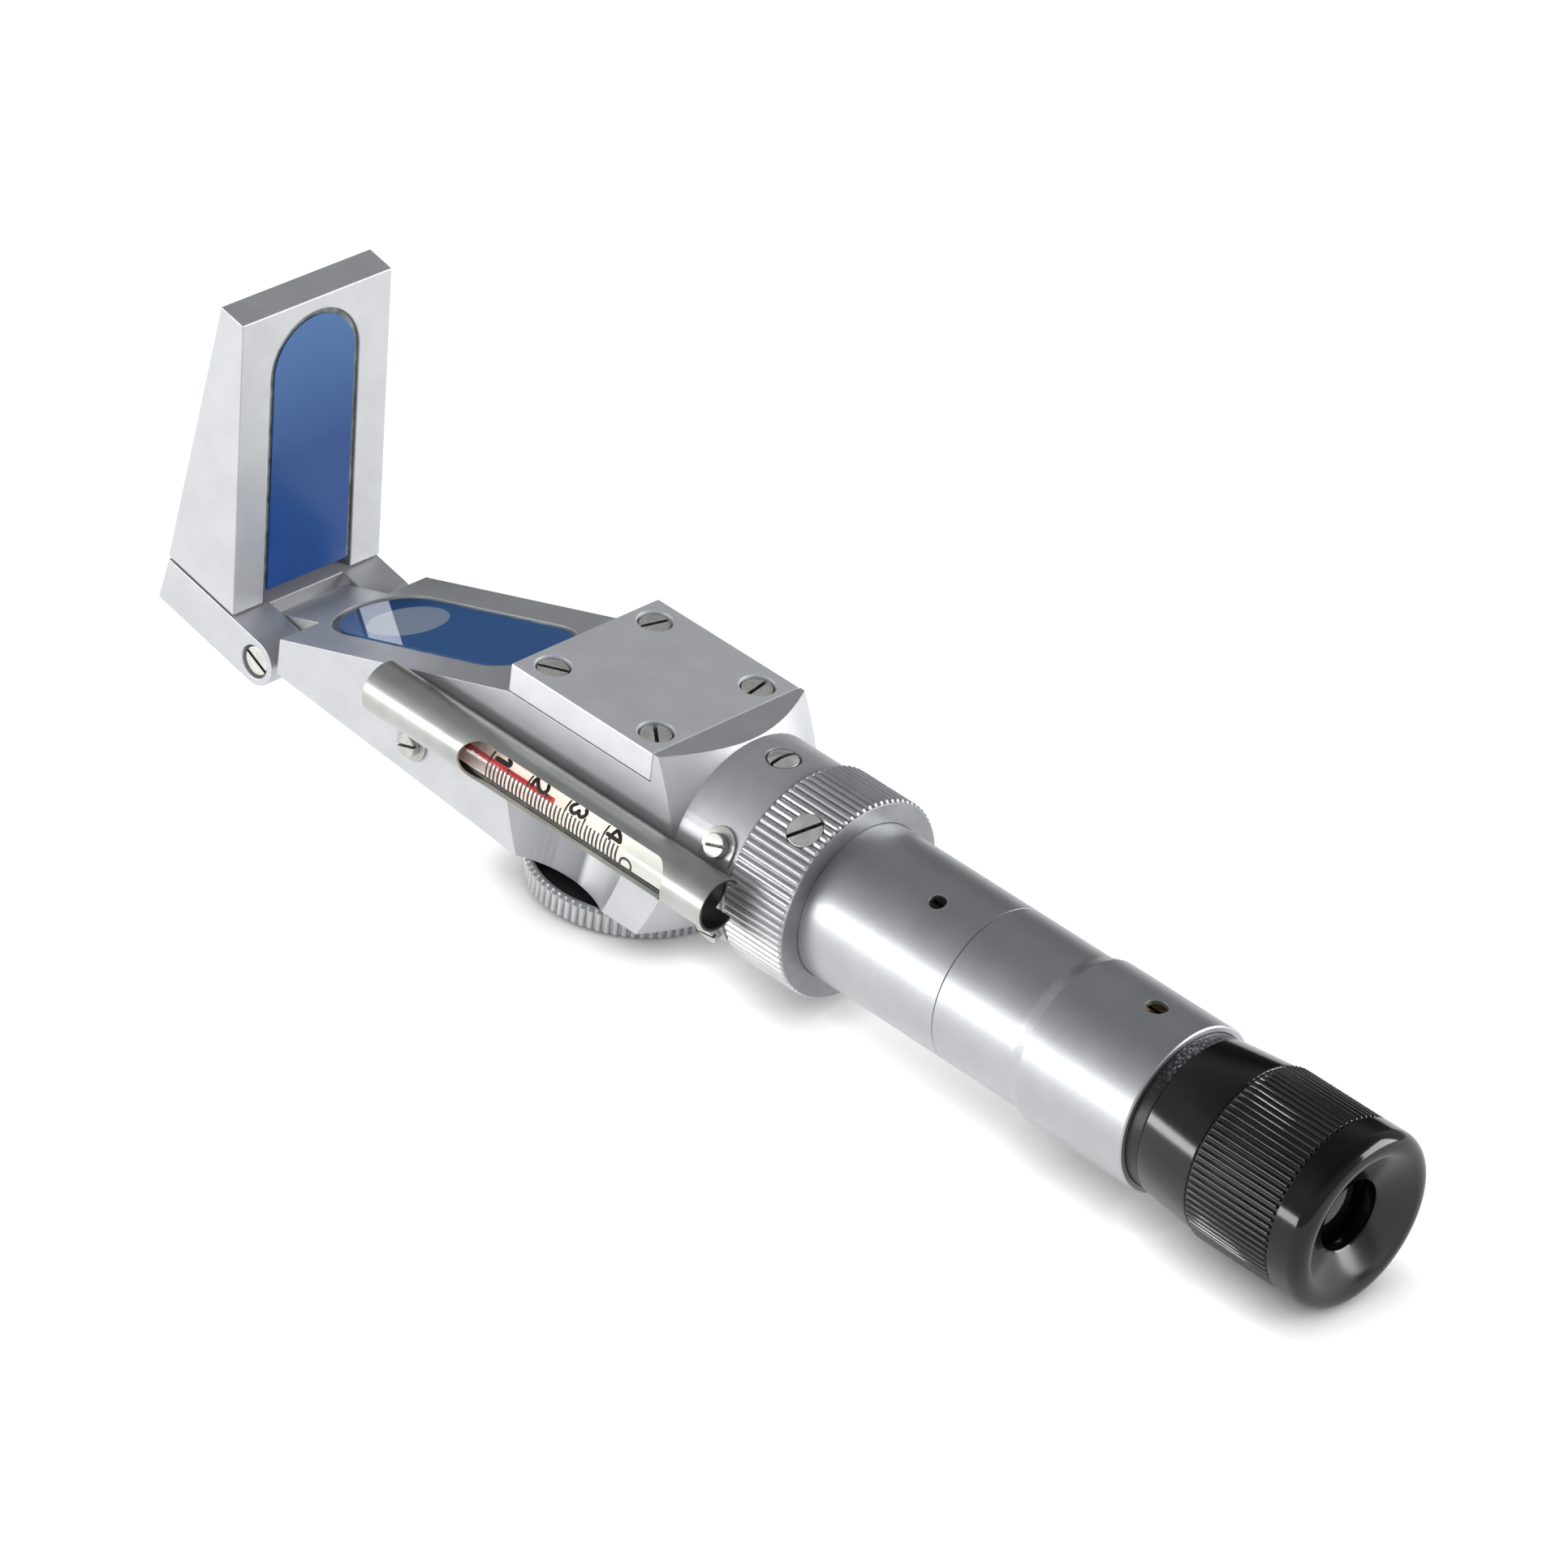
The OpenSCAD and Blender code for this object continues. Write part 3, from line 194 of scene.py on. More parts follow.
# Thin sheet drawn over a belt along its length: long scratches and a sharper highlight.
brushed_sheet = machined("brushed_sheet_metal", "AEB0AC", "BBBDB8", (0.28, 0.38), 0.16,
                         (0.03, 1, 1), bump=0.08, metallic=0.72)
# Nickel-plated brass screws: warm grey, polished by their plating.
nickel = machined("nickel_plating", "CBC9C4", "DCDBD6", (0.24, 0.3), 0.12, bump=0.03,
                  metallic=0.55, cloud=2)
# Zinc-bright heads on the holder: whiter than the nickel.
bright_zinc = machined("bright_zinc_plating", "B2B2AD", "C6C5C0", (0.34, 0.44), 0.3, bump=0.06,
                       metallic=0.6, cloud=2)
# The floors between a ring's ribs and its end faces are turned, and their darker grey is a painted
# shade for the grooves and faces.
ring_floor_painted_shade = machined("ring_floor_painted_shade_alloy", "8C8E90", "9A9C9E", (0.34, 0.42), 0.2,
                       (1, 0.3, 0.3), bump=0.1, metallic=0.8)
# Inside the holder the sheet is left rough, and its dark brown colour is a painted shade.
holder_inside_painted_shade = machined("sheet_inside_painted_shade", "3E3C39", "5A5753", (0.45, 0.6), 0.3, metallic=0.7)
# Blackened steel of the small set screws.
black_steel = machined("black_oxide_steel", "2A2A2B", "4A4A4B", (0.3, 0.45), 0.3, cloud=1.5)
# A painted shade at the bottom of every screw slot: a dark colour for the shade in the saw cut,
# also rougher, as the cut is never polished.
slot_painted_shade = machined("screw_slot_painted_shade", "3B3A38", "6A6865", (0.4, 0.6), 0.3, metallic=0.6, cloud=1)
# Brass of the sunk guide screw, browned with age.
brass = machined("turned_brass", "4A3D24", "75623C", (0.25, 0.4), 0.3, cloud=1.5)
print("metal finishes:", [m.name for m in bpy.data.materials])

# %% [markdown]
# The black parts of the eyepiece are aluminium too, but anodised black: a dye in the oxide
# layer swallows the colour and leaves a thin clear skin, so they shine like black plastic
# with the fine rings of the lathe still in them. The rings run round the axis, so the noise
# is squeezed along the axis and stretched across it.

# %% Black finishes
black_turned = machined("black_anodised_turned", "0E0E0F", "151516", (0.11, 0.17), 0.12,
                        (1, 0.06, 0.06), bump=0.14, metallic=0.0, Specular_IOR_Level=0.5)
black_gloss = machined("black_gloss_turned", "0A0A0B", "0F0F10", (0.09, 0.14), 0.1,
                       (1, 0.06, 0.06), bump=0.06, metallic=0.0, Specular_IOR_Level=0.4)
# The grip's ribs were cut along the axis, so their glints run that way too.
black_ribs = machined("black_anodised_ribs", "0F0F10", "171718", (0.12, 0.2), 0.12,
                      (0.06, 1, 1), bump=0.05, metallic=0.0, Specular_IOR_Level=0.9)
# Inner pieces and the floors between the grip's ribs were blasted first and don't shine.
black_matt = machined("black_anodised_matt", "1C1C1E", "262629", (0.45, 0.6), 0.25, metallic=0.0)
# Cork rings hold the thermometer at both ends of its holder.
packing = machined("cork_packing", "2C2622", "4A413A", (0.8, 0.95), 0.5, metallic=0.0, cloud=1.2)
# The collar at the tube's end is worn back to grey specks where it slides in the tube.
worn_collar, tree, shader = blank("worn_black_collar", "3A3A3E", 0.35)
place = add(tree, "ShaderNodeTexCoord").outputs["Object"]
specks = add(tree, "ShaderNodeTexNoise", {"Vector": place, "Scale": 1 / (0.55 * MM), "Detail": 6.0,
                                          "Roughness": 0.75}).outputs[0]
height = add(tree, "ShaderNodeSeparateXYZ", {"Vector": place}).outputs["Z"]
WEAR_FROM, WEAR_FULL = at(0, 0, 6).z, at(0, 0, 14).z
upper = add(tree, "ShaderNodeMapRange", {"Value": height, "From Min": WEAR_FROM,
                                         "From Max": WEAR_FULL, "To Min": -0.25, "To Max": 0.04})
worn = add(tree, "ShaderNodeMath", {0: specks, 1: upper.outputs[0]}, operation="ADD").outputs[0]
tint = add(tree, "ShaderNodeValToRGB", {"Fac": worn}, [(0.4, "161617"), (0.55, "45454A"),
                                                       (0.68, "B0B1B8")])
relief = add(tree, "ShaderNodeBump", {"Height": specks, "Strength": 0.4, "Distance": 0.08 * MM})
tree.links.new(tint.outputs[0], shader.inputs["Base Color"])
tree.links.new(relief.outputs[0], shader.inputs["Normal"])
print("black finishes ready")

# %% [markdown]
# A refractometer prism is a block of dense flint glass. Seen from above it shows the blue of the
# coating on its far face. A solid blue glass with a clear coat is enough here, because nothing
# behind the prism is ever in sight. The blue changes along the prism, so a ramp follows the place
# on the part: the body's blue is darker towards the nose, the lid's lighter towards its top.

# %% Glass, cement and the coloured spirit
def prism_glass(name, axis_name, low, high, gloss, shine, stops):
    """Coated glass whose blue follows the place along one axis, from low to high metres."""
    made, tree, shader = blank(name, stops[0][1], gloss, Specular_IOR_Level=shine)
    place = add(tree, "ShaderNodeTexCoord").outputs["Object"]
    split = add(tree, "ShaderNodeSeparateXYZ", {"Vector": place}).outputs[axis_name]
    along = add(tree, "ShaderNodeMapRange", {"Value": split, "From Min": low, "From Max": high})
    stain = add(tree, "ShaderNodeTexNoise", {"Vector": place, "Scale": 1 / (14 * MM)}).outputs[0]
    mixed = add(tree, "ShaderNodeMath", {0: stain, 1: 0.12, 2: along.outputs[0]},
                operation="MULTIPLY_ADD")
    tint = add(tree, "ShaderNodeValToRGB", {"Fac": mixed.outputs[0]}, stops)
    tree.links.new(tint.outputs[0], shader.inputs["Base Color"])
    return made, tree, shader, place, tint


body_low, body_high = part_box("measuring_prism")
lid_low, lid_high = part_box("lid_prism")
lid_glass, *_ = prism_glass("flint_glass_of_lid", "Z", lid_low.z, lid_high.z, 0.22, 0.3,
                            [(0.1, "21498A"), (0.55, "1F4780"), (1.05, "436899")])
body_glass, tree, shader, place, tint = prism_glass(
    "flint_glass_of_body", "X", body_low.x, body_high.x, 0.02, 1.0,
    [(0.02, "12386F"), (0.3, "41689F"), (1.0, "466DA6")])
# The round light patch in the body's prism is painted light: a lighter disc in the glass's colour
# where the way into the telescope shows in the glass.
# A place on the flat face is inside it when it is within the opening's radius of its centre.
PATCH_CENTRE, PATCH_R, PATCH_BLUR = at(13.6, -0.2, -1.7), 7.25 * MM, 0.2 * MM
reach = add(tree, "ShaderNodeVectorMath", {0: place, 1: PATCH_CENTRE}, operation="DISTANCE")
inside = add(tree, "ShaderNodeMapRange", {"Value": reach.outputs["Value"], "From Min": PATCH_R,
                                          "From Max": PATCH_R + PATCH_BLUR, "To Min": 1.0,
                                          "To Max": 0.0})
patch = add(tree, "ShaderNodeMix", {0: inside.outputs[0], 6: tint.outputs[0], 7: linear("96A4B8")},
            data_type="RGBA")
tree.links.new(patch.outputs[2], shader.inputs["Base Color"])
# The cement is a grey bead round each prism, and the pane behind the lid's prism is opal.
cement = machined("optical_cement", "4C5450", "828A86", (0.35, 0.5), 0.6, metallic=0.0, cloud=3)
opal = machined("opal_pane", "D5DADC", "E6EAEB", (0.25, 0.4), 0.5, metallic=0.0,
                Subsurface_Weight=0.3)
# Dyed spirit, dark at the bulb, with a painted glow: a little emission that brightens the column
# as light through it would.
COLUMN_FROM, COLUMN_TO = at(52, 0, 0).x, at(73, 0, 0).x
spirit_painted_glow, tree, shader = blank("red_spirit", "C5281F", 0.35, Emission_Strength=0.25)
place = add(tree, "ShaderNodeTexCoord").outputs["Object"]
along = add(tree, "ShaderNodeSeparateXYZ", {"Vector": place}).outputs["X"]
from_bulb = add(tree, "ShaderNodeMapRange", {"Value": along, "From Min": COLUMN_FROM,
                                             "From Max": COLUMN_TO})
stain = add(tree, "ShaderNodeTexNoise", {"Vector": place, "Scale": 1 / (0.8 * MM)}).outputs[0]
mixed = add(tree, "ShaderNodeMath", {0: stain, 1: 0.08, 2: from_bulb.outputs[0]},
            operation="MULTIPLY_ADD")
tint = add(tree, "ShaderNodeValToRGB", {"Fac": mixed.outputs[0]},
           [(0.04, "6E1B1A"), (0.42, "C9261D")])
tree.links.new(tint.outputs[0], shader.inputs["Base Color"])
tree.links.new(tint.outputs[0], shader.inputs["Emission Color"])
printed_black = machined("fired_black_marks", "14100F", "231C1B", (0.35, 0.5), 0.2, metallic=0.0)

# The enamel behind the bore is a warm white, greyer at its rear. Its dim front end is a painted
# shadow of the holder's rim, and its emission is a painted glow that brightens it inside the
# holder.
WINDOW_FROM, WINDOW_TO = at(50, 0, 0).x, at(106, 0, 0).x
card, tree, shader = blank("enamel_painted_glow_and_shadow", "F2EDE4", 0.5, Emission_Strength=0.5)
place = add(tree, "ShaderNodeTexCoord").outputs["Object"]
along = add(tree, "ShaderNodeSeparateXYZ", {"Vector": place}).outputs["X"]
from_rim = add(tree, "ShaderNodeMapRange", {"Value": along, "From Min": WINDOW_FROM,
                                            "From Max": WINDOW_TO})
mottle = add(tree, "ShaderNodeTexNoise", {"Vector": place, "Scale": 1 / (1.5 * MM)}).outputs[0]
mixed = add(tree, "ShaderNodeMath", {0: mottle, 1: 0.06, 2: from_rim.outputs[0]},
            operation="MULTIPLY_ADD")
# Painted shadow: the brown first stop dims the window's front end.
tint = add(tree, "ShaderNodeValToRGB", {"Fac": mixed.outputs[0]},
           [(0.06, "7A665C"), (0.2, "EFE4DA"), (0.6, "F6F0E7"), (0.85, "DADAD4")])
tree.links.new(tint.outputs[0], shader.inputs["Base Color"])
tree.links.new(tint.outputs[0], shader.inputs["Emission Color"])

# The glass tube is thin and clear: it only adds its reflections, stronger where it is seen
# edge-on, so the light passes straight on and no refraction has to be traced.
clear_glass = bpy.data.materials.new("clear_tube_glass")
clear_glass.use_nodes = True
tree = clear_glass.node_tree
tree.nodes.clear()
through = add(tree, "ShaderNodeBsdfTransparent", {"Color": (0.97, 0.98, 0.98, 1)})
glint = add(tree, "ShaderNodeBsdfGlossy", {"Color": (1, 1, 1, 1), "Roughness": 0.05})
rim_share = add(tree, "ShaderNodeLayerWeight", {"Blend": 0.5}).outputs["Facing"]
steep = add(tree, "ShaderNodeMath", {0: rim_share, 1: 6.0}, operation="POWER").outputs[0]
edge = add(tree, "ShaderNodeMath", {0: steep, 1: 0.6, 2: 0.035}, operation="MULTIPLY_ADD")
both = add(tree, "ShaderNodeMixShader", {0: edge.outputs[0], 1: through.outputs[0],
                                         2: glint.outputs[0]})
add(tree, "ShaderNodeOutputMaterial", {"Surface": both.outputs[0]})

# The lenses are seen against the dark inside of the telescope, so black glass is enough.
coated_glass, tree, shader = blank("coated_eye_lens", "050608", 0.04, Specular_IOR_Level=0.5)
print("glasses ready:", body_glass.name, lid_glass.name, clear_glass.name)

# %% [markdown]
# Milled blocks are never quite sharp: the workshop breaks every outer edge with a file or
# in the blasting drum, and that narrow band is what catches the light in a photograph. A
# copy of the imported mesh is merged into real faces, its outer edges are bevelled by the real
# width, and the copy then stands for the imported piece.

# %% Broken edges on the milled and turned pieces
CRISP_ANGLE, LATHE_ANGLE = 9, 30


def publish(mesh, name, finish, body, slot, *nodes):
    """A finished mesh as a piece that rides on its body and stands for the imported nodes."""
    piece = bpy.data.objects.new(name, mesh)
    bpy.context.scene.collection.objects.link(piece)
    if len(mesh.materials) < 2:
        mesh.materials.clear()
        mesh.materials.append(finish)
    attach(piece, body)
    if nodes:
        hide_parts(*nodes)
    return piece


def smooth(mesh, angle=LATHE_ANGLE):
    """Smooth shading that stays crisp at edges steeper than angle degrees."""
    mesh.shade_smooth()
    mesh.set_sharp_from_angle(angle=radians(angle))


def edged(node, name, finish, slot, width, angle=30):
    """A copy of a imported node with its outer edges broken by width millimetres."""
    source = frame["nodes"][node]
    work = bmesh.new()
    work.from_mesh(source.data)
    bmesh.ops.remove_doubles(work, verts=work.verts, dist=0.001 * MM)
    bmesh.ops.dissolve_limit(work, angle_limit=radians(0.6), verts=work.verts, edges=work.edges)
    outer = [e for e in work.edges
             if e.is_manifold and e.is_convex and e.calc_face_angle(0) > radians(angle)]
    bmesh.ops.bevel(work, geom=outer, offset=width * MM, offset_type="OFFSET", segments=2,
                    profile=0.5, affect="EDGES", clamp_overlap=False, material=-1)
    mesh = bpy.data.meshes.new(name)
    work.to_mesh(mesh)
    work.free()
    smooth(mesh, CRISP_ANGLE)
    piece = publish(mesh, name, finish, source["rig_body"], slot, node)
    steady = piece.modifiers.new("flat faces stay flat", "WEIGHTED_NORMAL")
    steady.keep_sharp, steady.weight = True, 100
    print(name, "edges broken:", len(outer), "faces:", len(mesh.polygons))
    return piece


body = edged("prism_body", "milled_body", satin_aluminium, "satin_aluminium", 0.07)
edged("cover_plate", "milled_cover_plate", satin_plate, "satin_aluminium", 0.3)
edged("lid_housing", "milled_lid", satin_aluminium, "satin_aluminium", 0.2)
edged("hinge_fork", "milled_fork", satin_aluminium, "satin_aluminium", 0.14)
edged("front_tube", "drawn_front_tube", satin_tube, "satin_aluminium", 0.12)
edged("rear_tube", "drawn_rear_tube", satin_tube, "satin_aluminium", 0.08)
holder = edged("thermometer_holder", "folded_holder", brushed_sheet, "brushed_sheet", 0.06)
# Faces near the holder's axis are its inside. They and the end of its rear mouth take the painted
# shade.
TUBE_Y, TUBE_Z = -22.45, 2.1
INSIDE_R, MOUTH_R, MOUTH_FROM, FACES_REAR = 4.4, 5.2, 100, 0.9
holder.data.materials.append(holder_inside_painted_shade)
for face in holder.data.polygons:
    off = (face.center - at(0, TUBE_Y, TUBE_Z)) / MM
    from_axis = Vector((off.y, off.z)).length
    in_mouth = from_axis < MOUTH_R and off.x > MOUTH_FROM and face.normal.x > FACES_REAR
    face.material_index = int(from_axis < INSIDE_R or in_mouth)

# %% [markdown]
# The finger scoops are cut with a large end mill after the blasting. Their walls carry a painted
# shade: lighter at the front, darker towards the middle, and light again past a crisp painted
# shadow edge near the rear. A place on the body is on a scoop's wall when it lies on the leaning
# cylinder that the mill swept.

# %% The walls of the finger scoops
SCOOP_X, SCOOP_OUT, SCOOP_FOOT = 71.5, 14.8, -18.1
SCOOP_R, SCOOP_LEAN = 22.2, radians(14.2)
NEAR_WALL, UPRIGHT_ENOUGH = 0.35, 0.6
SCOOP_FRONT, SCOOP_REAR = at(60, 0, 0).x, at(82, 0, 0).x
scoop_painted_shade, tree, shader = blank("milled_scoop_painted_shade", "8A8C90", 0.34, 0.7)
place = add(tree, "ShaderNodeTexCoord").outputs["Object"]
along = add(tree, "ShaderNodeSeparateXYZ", {"Vector": place}).outputs["X"]
from_front = add(tree, "ShaderNodeMapRange", {"Value": along, "From Min": SCOOP_FRONT,
                                              "From Max": SCOOP_REAR})
marks = add(tree, "ShaderNodeMapping", {"Vector": place, "Scale": (1, 1, 0.1)}).outputs[0]
drag = add(tree, "ShaderNodeTexNoise", {"Vector": marks, "Scale": 1 / (0.3 * MM),
                                        "Detail": 2.0}).outputs[0]
# Painted shade along the scoop, with a crisp painted shadow edge near its rear.
tint = add(tree, "ShaderNodeValToRGB", {"Fac": from_front.outputs[0]},
           [(0.0, "B4B6B9"), (0.3, "808285"), (0.6, "6A6C6F"), (0.66, "BEC0C3")])
relief = add(tree, "ShaderNodeBump", {"Height": drag, "Strength": 0.12, "Distance": 0.05 * MM})
tree.links.new(tint.outputs[0], shader.inputs["Base Color"])
tree.links.new(relief.outputs[0], shader.inputs["Normal"])
body.data.materials.append(scoop_painted_shade)
walls = 0
for face in body.data.polygons:
    off = (face.center - at(SCOOP_X, 0, SCOOP_FOOT)) / MM
    out = (abs(off.y) - SCOOP_OUT) * cos(SCOOP_LEAN) + off.z * sin(SCOOP_LEAN)
    from_wall = abs(Vector((off.x, out - SCOOP_R)).length - SCOOP_R)
    if from_wall < NEAR_WALL and abs(face.normal.z) < UPRIGHT_ENOUGH:
        face.material_index = 1
        walls += 1
print("faces on the scoops' walls:", walls)

# %% [markdown]
# Turned pieces come off a lathe: one outline, spun round the axis. The outline is given as
# corners with a radius each, as a lathe hand would read them from a drawing, and a short
# function rounds every corner before the outline is spun into a closed shell.

# %% A lathe
ON_AXIS = 1e-6


def rounded(corners, steps=4):
    """The outline through corners (along, radius, rounding), in millimetres."""
    outline = []
    for i, (x, r, rounding) in enumerate(corners):
        here = Vector((x, r))
        if not rounding:
            outline.append(here)
            continue
        legs = [Vector(corners[j % len(corners)][:2]) - here for j in (i - 1, i + 1)]
        half = legs[0].angle(legs[1]) / 2
        cut = min(rounding / tan(half), 0.45 * legs[0].length, 0.45 * legs[1].length)
        first, last = (here + leg.normalized() * cut for leg in legs)
        for k in range(steps + 1):
            t = k / steps
            outline.append(first * (1 - t) ** 2 + here * 2 * t * (1 - t) + last * t * t)
    return outline


ALONG_TUBE = Matrix.Translation(AXIS)


def lathe(name, outline, around=144, frame_matrix=ALONG_TUBE, axis="X"):
    """A closed shell spun from an outline of (along, radius) in millimetres."""
    work = bmesh.new()
    rings = []
    for x, r in outline:
        if r < ON_AXIS:
            rings.append([work.verts.new(Vector((x, 0, 0)) * MM)] * around)
            continue
        rings.append([work.verts.new(Vector((x, r * cos(2 * pi * k / around),
                                             r * sin(2 * pi * k / around))) * MM)
                      for k in range(around)])
    loops = zip(rings, rings[1:] + rings[:1])
    for one, two in loops:
        for k in range(around):
            m = (k + 1) % around
            corners = []
            for v in (one[k], one[m], two[m], two[k]):
                if v not in corners:
                    corners.append(v)
            if len(corners) > 2:
                work.faces.new(corners)
    if axis == "Z":
        bmesh.ops.rotate(work, verts=work.verts, cent=(0, 0, 0),
                         matrix=Matrix.Rotation(-pi / 2, 3, "Y"))
    bmesh.ops.recalc_face_normals(work, faces=work.faces)
    work.transform(frame_matrix)
    mesh = bpy.data.meshes.new(name)
    work.to_mesh(mesh)
    work.free()
    smooth(mesh)
    return mesh


def arc(x, r, radius, first, last, steps=16):
    """Points on a rounding about (x, r), from one angle to another, in degrees from +radius."""
    turns = [radians(first + (last - first) * k / steps) for k in range(steps + 1)]
    return [Vector((x + radius * sin(a), r + radius * cos(a))) for a in turns]


print("a corner of 1 mm rounded in", len(rounded([(0, 5, 0), (4, 5, 1), (4, 0, 0)])) - 3, "steps")

# %% [markdown]
# The eyepiece barrel has two turned forms on one blank: a short straight collar, worn to
# grey where it slides in the tube, and a cone that opens towards the grip. They are two
# pieces here, so that each keeps its own finish.

# %% Eyepiece barrel, eyecup and eye lens
collar_outline = [(192.7, 12.66, 0), (192.7, 14.2, 0.2), (199.95, 14.2, 0.25), (200.1, 12.66, 0)]
collar = lathe("worn_collar", rounded(collar_outline))
publish(collar, "worn_collar", worn_collar, "eyepiece", "black_turned", "eyepiece_barrel")
barrel_outline = [(200.12, 12.66, 0), (200.12, 14.5, 0.2), (211.5, 15.7, 0.25), (211.75, 15.35, 0),
                  (211.8, 14.4, 0), (229.8, 14.4, 0), (229.8, 12.66, 0)]
barrel = lathe("turned_barrel", rounded(barrel_outline))
publish(barrel, "turned_barrel", black_turned, "eyepiece", "black_turned")
rim = [Vector((229.8, 12.66)), Vector((229.8, 16.05)), Vector((229.95, 16.2))]
rim += arc(233.8, 13.6, 2.6, 0, 117.6)
rim += [Vector((233.15, 6.8)), Vector((232.9, 6.5)), Vector((232.6, 6.45)), Vector((231.0, 6.45)),
        Vector((231.0, 12.66))]
cup = lathe("turned_eyecup", rim)
# The dish keeps its turning rings, which spread every glint into a wedge across them.
dish, tree, shader = blank("black_turned_dish", "0C0C0D", 0.2, Specular_IOR_Level=0.45,
                           Anisotropic=0.97)
round_axis = add(tree, "ShaderNodeTangent", direction_type="RADIAL", axis="X")
tree.links.new(round_axis.outputs[0], shader.inputs["Tangent"])
place = add(tree, "ShaderNodeTexCoord").outputs["Object"]
from_axis = add(tree, "ShaderNodeVectorMath", {0: place, 1: AXIS}, operation="SUBTRACT")
across = add(tree, "ShaderNodeVectorMath", {0: from_axis.outputs[0], 1: (0, 1, 1)},
             operation="MULTIPLY")
out_from = add(tree, "ShaderNodeVectorMath", {0: across.outputs[0]},
               operation="LENGTH").outputs["Value"]
rings = add(tree, "ShaderNodeTexNoise", {"W": out_from, "Scale": 1 / (0.14 * MM), "Detail": 2.0},
            noise_dimensions="1D").outputs[0]
sheen = add(tree, "ShaderNodeMapRange", {"Value": rings, "From Min": 0.3, "From Max": 0.7,
                                         "To Min": 0.12, "To Max": 0.2})
tint = add(tree, "ShaderNodeValToRGB", {"Fac": rings}, [(0.3, "070708"), (0.7, "0E0E10")])
tree.links.new(sheen.outputs[0], shader.inputs["Roughness"])
tree.links.new(tint.outputs[0], shader.inputs["Base Color"])
DISH_FROM, DISH_INNER, DISH_OUTER = 233.0, 6.8, 12.45
cup.materials.append(black_gloss)
cup.materials.append(dish)
for face in cup.polygons:
    off = (face.center - AXIS) / MM
    out = Vector((off.y, off.z)).length
    face.material_index = int(off.x > DISH_FROM and DISH_INNER < out < DISH_OUTER)
publish(cup, "turned_eyecup", black_gloss, "eyepiece", "black_gloss", "eyecup")
# The eye lens bulges towards the eye; a parabola is close enough to its round face.
LENS_BACK, LENS_RIM, LENS_CROWN, LENS_R, LENS_BEND = 225.4, 227.4, 230.5, 10.9, 20
dome = [Vector((LENS_BACK, 0)), Vector((LENS_BACK, LENS_R)), Vector((LENS_RIM, LENS_R))]
dome += [Vector((LENS_CROWN - r * r / (2 * LENS_BEND), r))
         for r in (LENS_R, 9, 7.5, 6, 4.5, 3, 1.5, 0)]
publish(lathe("eye_lens_dome", dome), "eye_lens_dome", coated_glass, "lens_slide", "coated_glass",
        "eye_lens")
print("eyepiece pieces turned")

# %% [markdown]
# Ribs, screws and scale marks repeat, so Geometry Nodes place them. One small tree takes a
# cloud of places, a piece and a finish. Each place carries its own turn as an attribute, so
# the same tree serves ribs round a ring and screws in their holes. Its last nodes make the
# copies real and give them their finish, because an export drops mere instances.

# %% The tree that makes copies
copies = bpy.data.node_groups.new("copies_at_places", "GeometryNodeTree")
for socket_name, kind in (("Places", "Geometry"), ("Piece", "Object"), ("Finish", "Material"),
                          ("Slot painted shade", "Material")):
    copies.interface.new_socket(socket_name, in_out="INPUT", socket_type="NodeSocket" + kind)
copies.interface.new_socket("Copies", in_out="OUTPUT", socket_type="NodeSocketGeometry")
given = add(copies, "NodeGroupInput").outputs
original = add(copies, "GeometryNodeObjectInfo", {"Object": given["Piece"]},
               transform_space="ORIGINAL")
turns = add(copies, "GeometryNodeInputNamedAttribute", {"Name": "turn"}, data_type="FLOAT_VECTOR")
placed = add(copies, "GeometryNodeInstanceOnPoints",
             {"Points": given["Places"], "Instance": original.outputs["Geometry"],
              "Rotation": turns.outputs["Attribute"]})
real = add(copies, "GeometryNodeRealizeInstances", {"Geometry": placed.outputs[0]})
coated = add(copies, "GeometryNodeSetMaterial", {"Geometry": real.outputs[0],
                                                 "Material": given["Finish"]})
# Faces marked sawn, the bottoms of the screw slots, take the painted shade.
sawn = add(copies, "GeometryNodeInputNamedAttribute", {"Name": "sawn"}, data_type="BOOLEAN")
stained = add(copies, "GeometryNodeSetMaterial",
              {"Geometry": coated.outputs[0], "Selection": sawn.outputs["Attribute"],
               "Material": given["Slot painted shade"]})
add(copies, "NodeGroupOutput", {"Copies": stained.outputs[0]})


def copy_to(name, places, pattern, finish):
    """Places are (point, turn matrix). The copies come back as one plain mesh."""
    host_mesh = bpy.data.meshes.new(name + "_places")
    host_mesh.from_pydata([tuple(p) for p, _ in places], [], [])
    turned = host_mesh.attributes.new("turn", "FLOAT_VECTOR", "POINT")
    for k, (_, matrix) in enumerate(places):
        turned.data[k].vector = matrix.to_euler()
    host = bpy.data.objects.new(name + "_places", host_mesh)
    bpy.context.scene.collection.objects.link(host)
    shown = bpy.data.objects.new(name + "_pattern", pattern)
    bpy.context.scene.collection.objects.link(shown)
    worker = host.modifiers.new("copies", "NODES")
    worker.node_group = copies
    for item in copies.interface.items_tree:
        if item.name == "Piece":
            worker[item.identifier] = shown
        if item.name == "Finish":
            worker[item.identifier] = finish
        if item.name == "Slot painted shade":
            worker[item.identifier] = slot_painted_shade
    seen = host.evaluated_get(bpy.context.evaluated_depsgraph_get())
    mesh = bpy.data.meshes.new_from_object(seen)
    mesh.name = name
    for o in (host, shown):
        bpy.data.objects.remove(o)
    print(name, "copies:", len(places), "faces:", len(mesh.polygons))
    return mesh


# %% [markdown]
# A rib is a long low bar with a rounded back and chamfered ends. The ring, the focusing
# grip and the thumb wheel each have their own count and size, but the same bar does for
# all: it is drawn at its radius and turned round the axis. Under the ribs lies a plain
# turned ring at the depth of the grooves.

# %% Ribs
RING_RIBS, GRIP_RIBS, WHEEL_RIBS = 80, 80, 79
RIB_ANGLE = 50


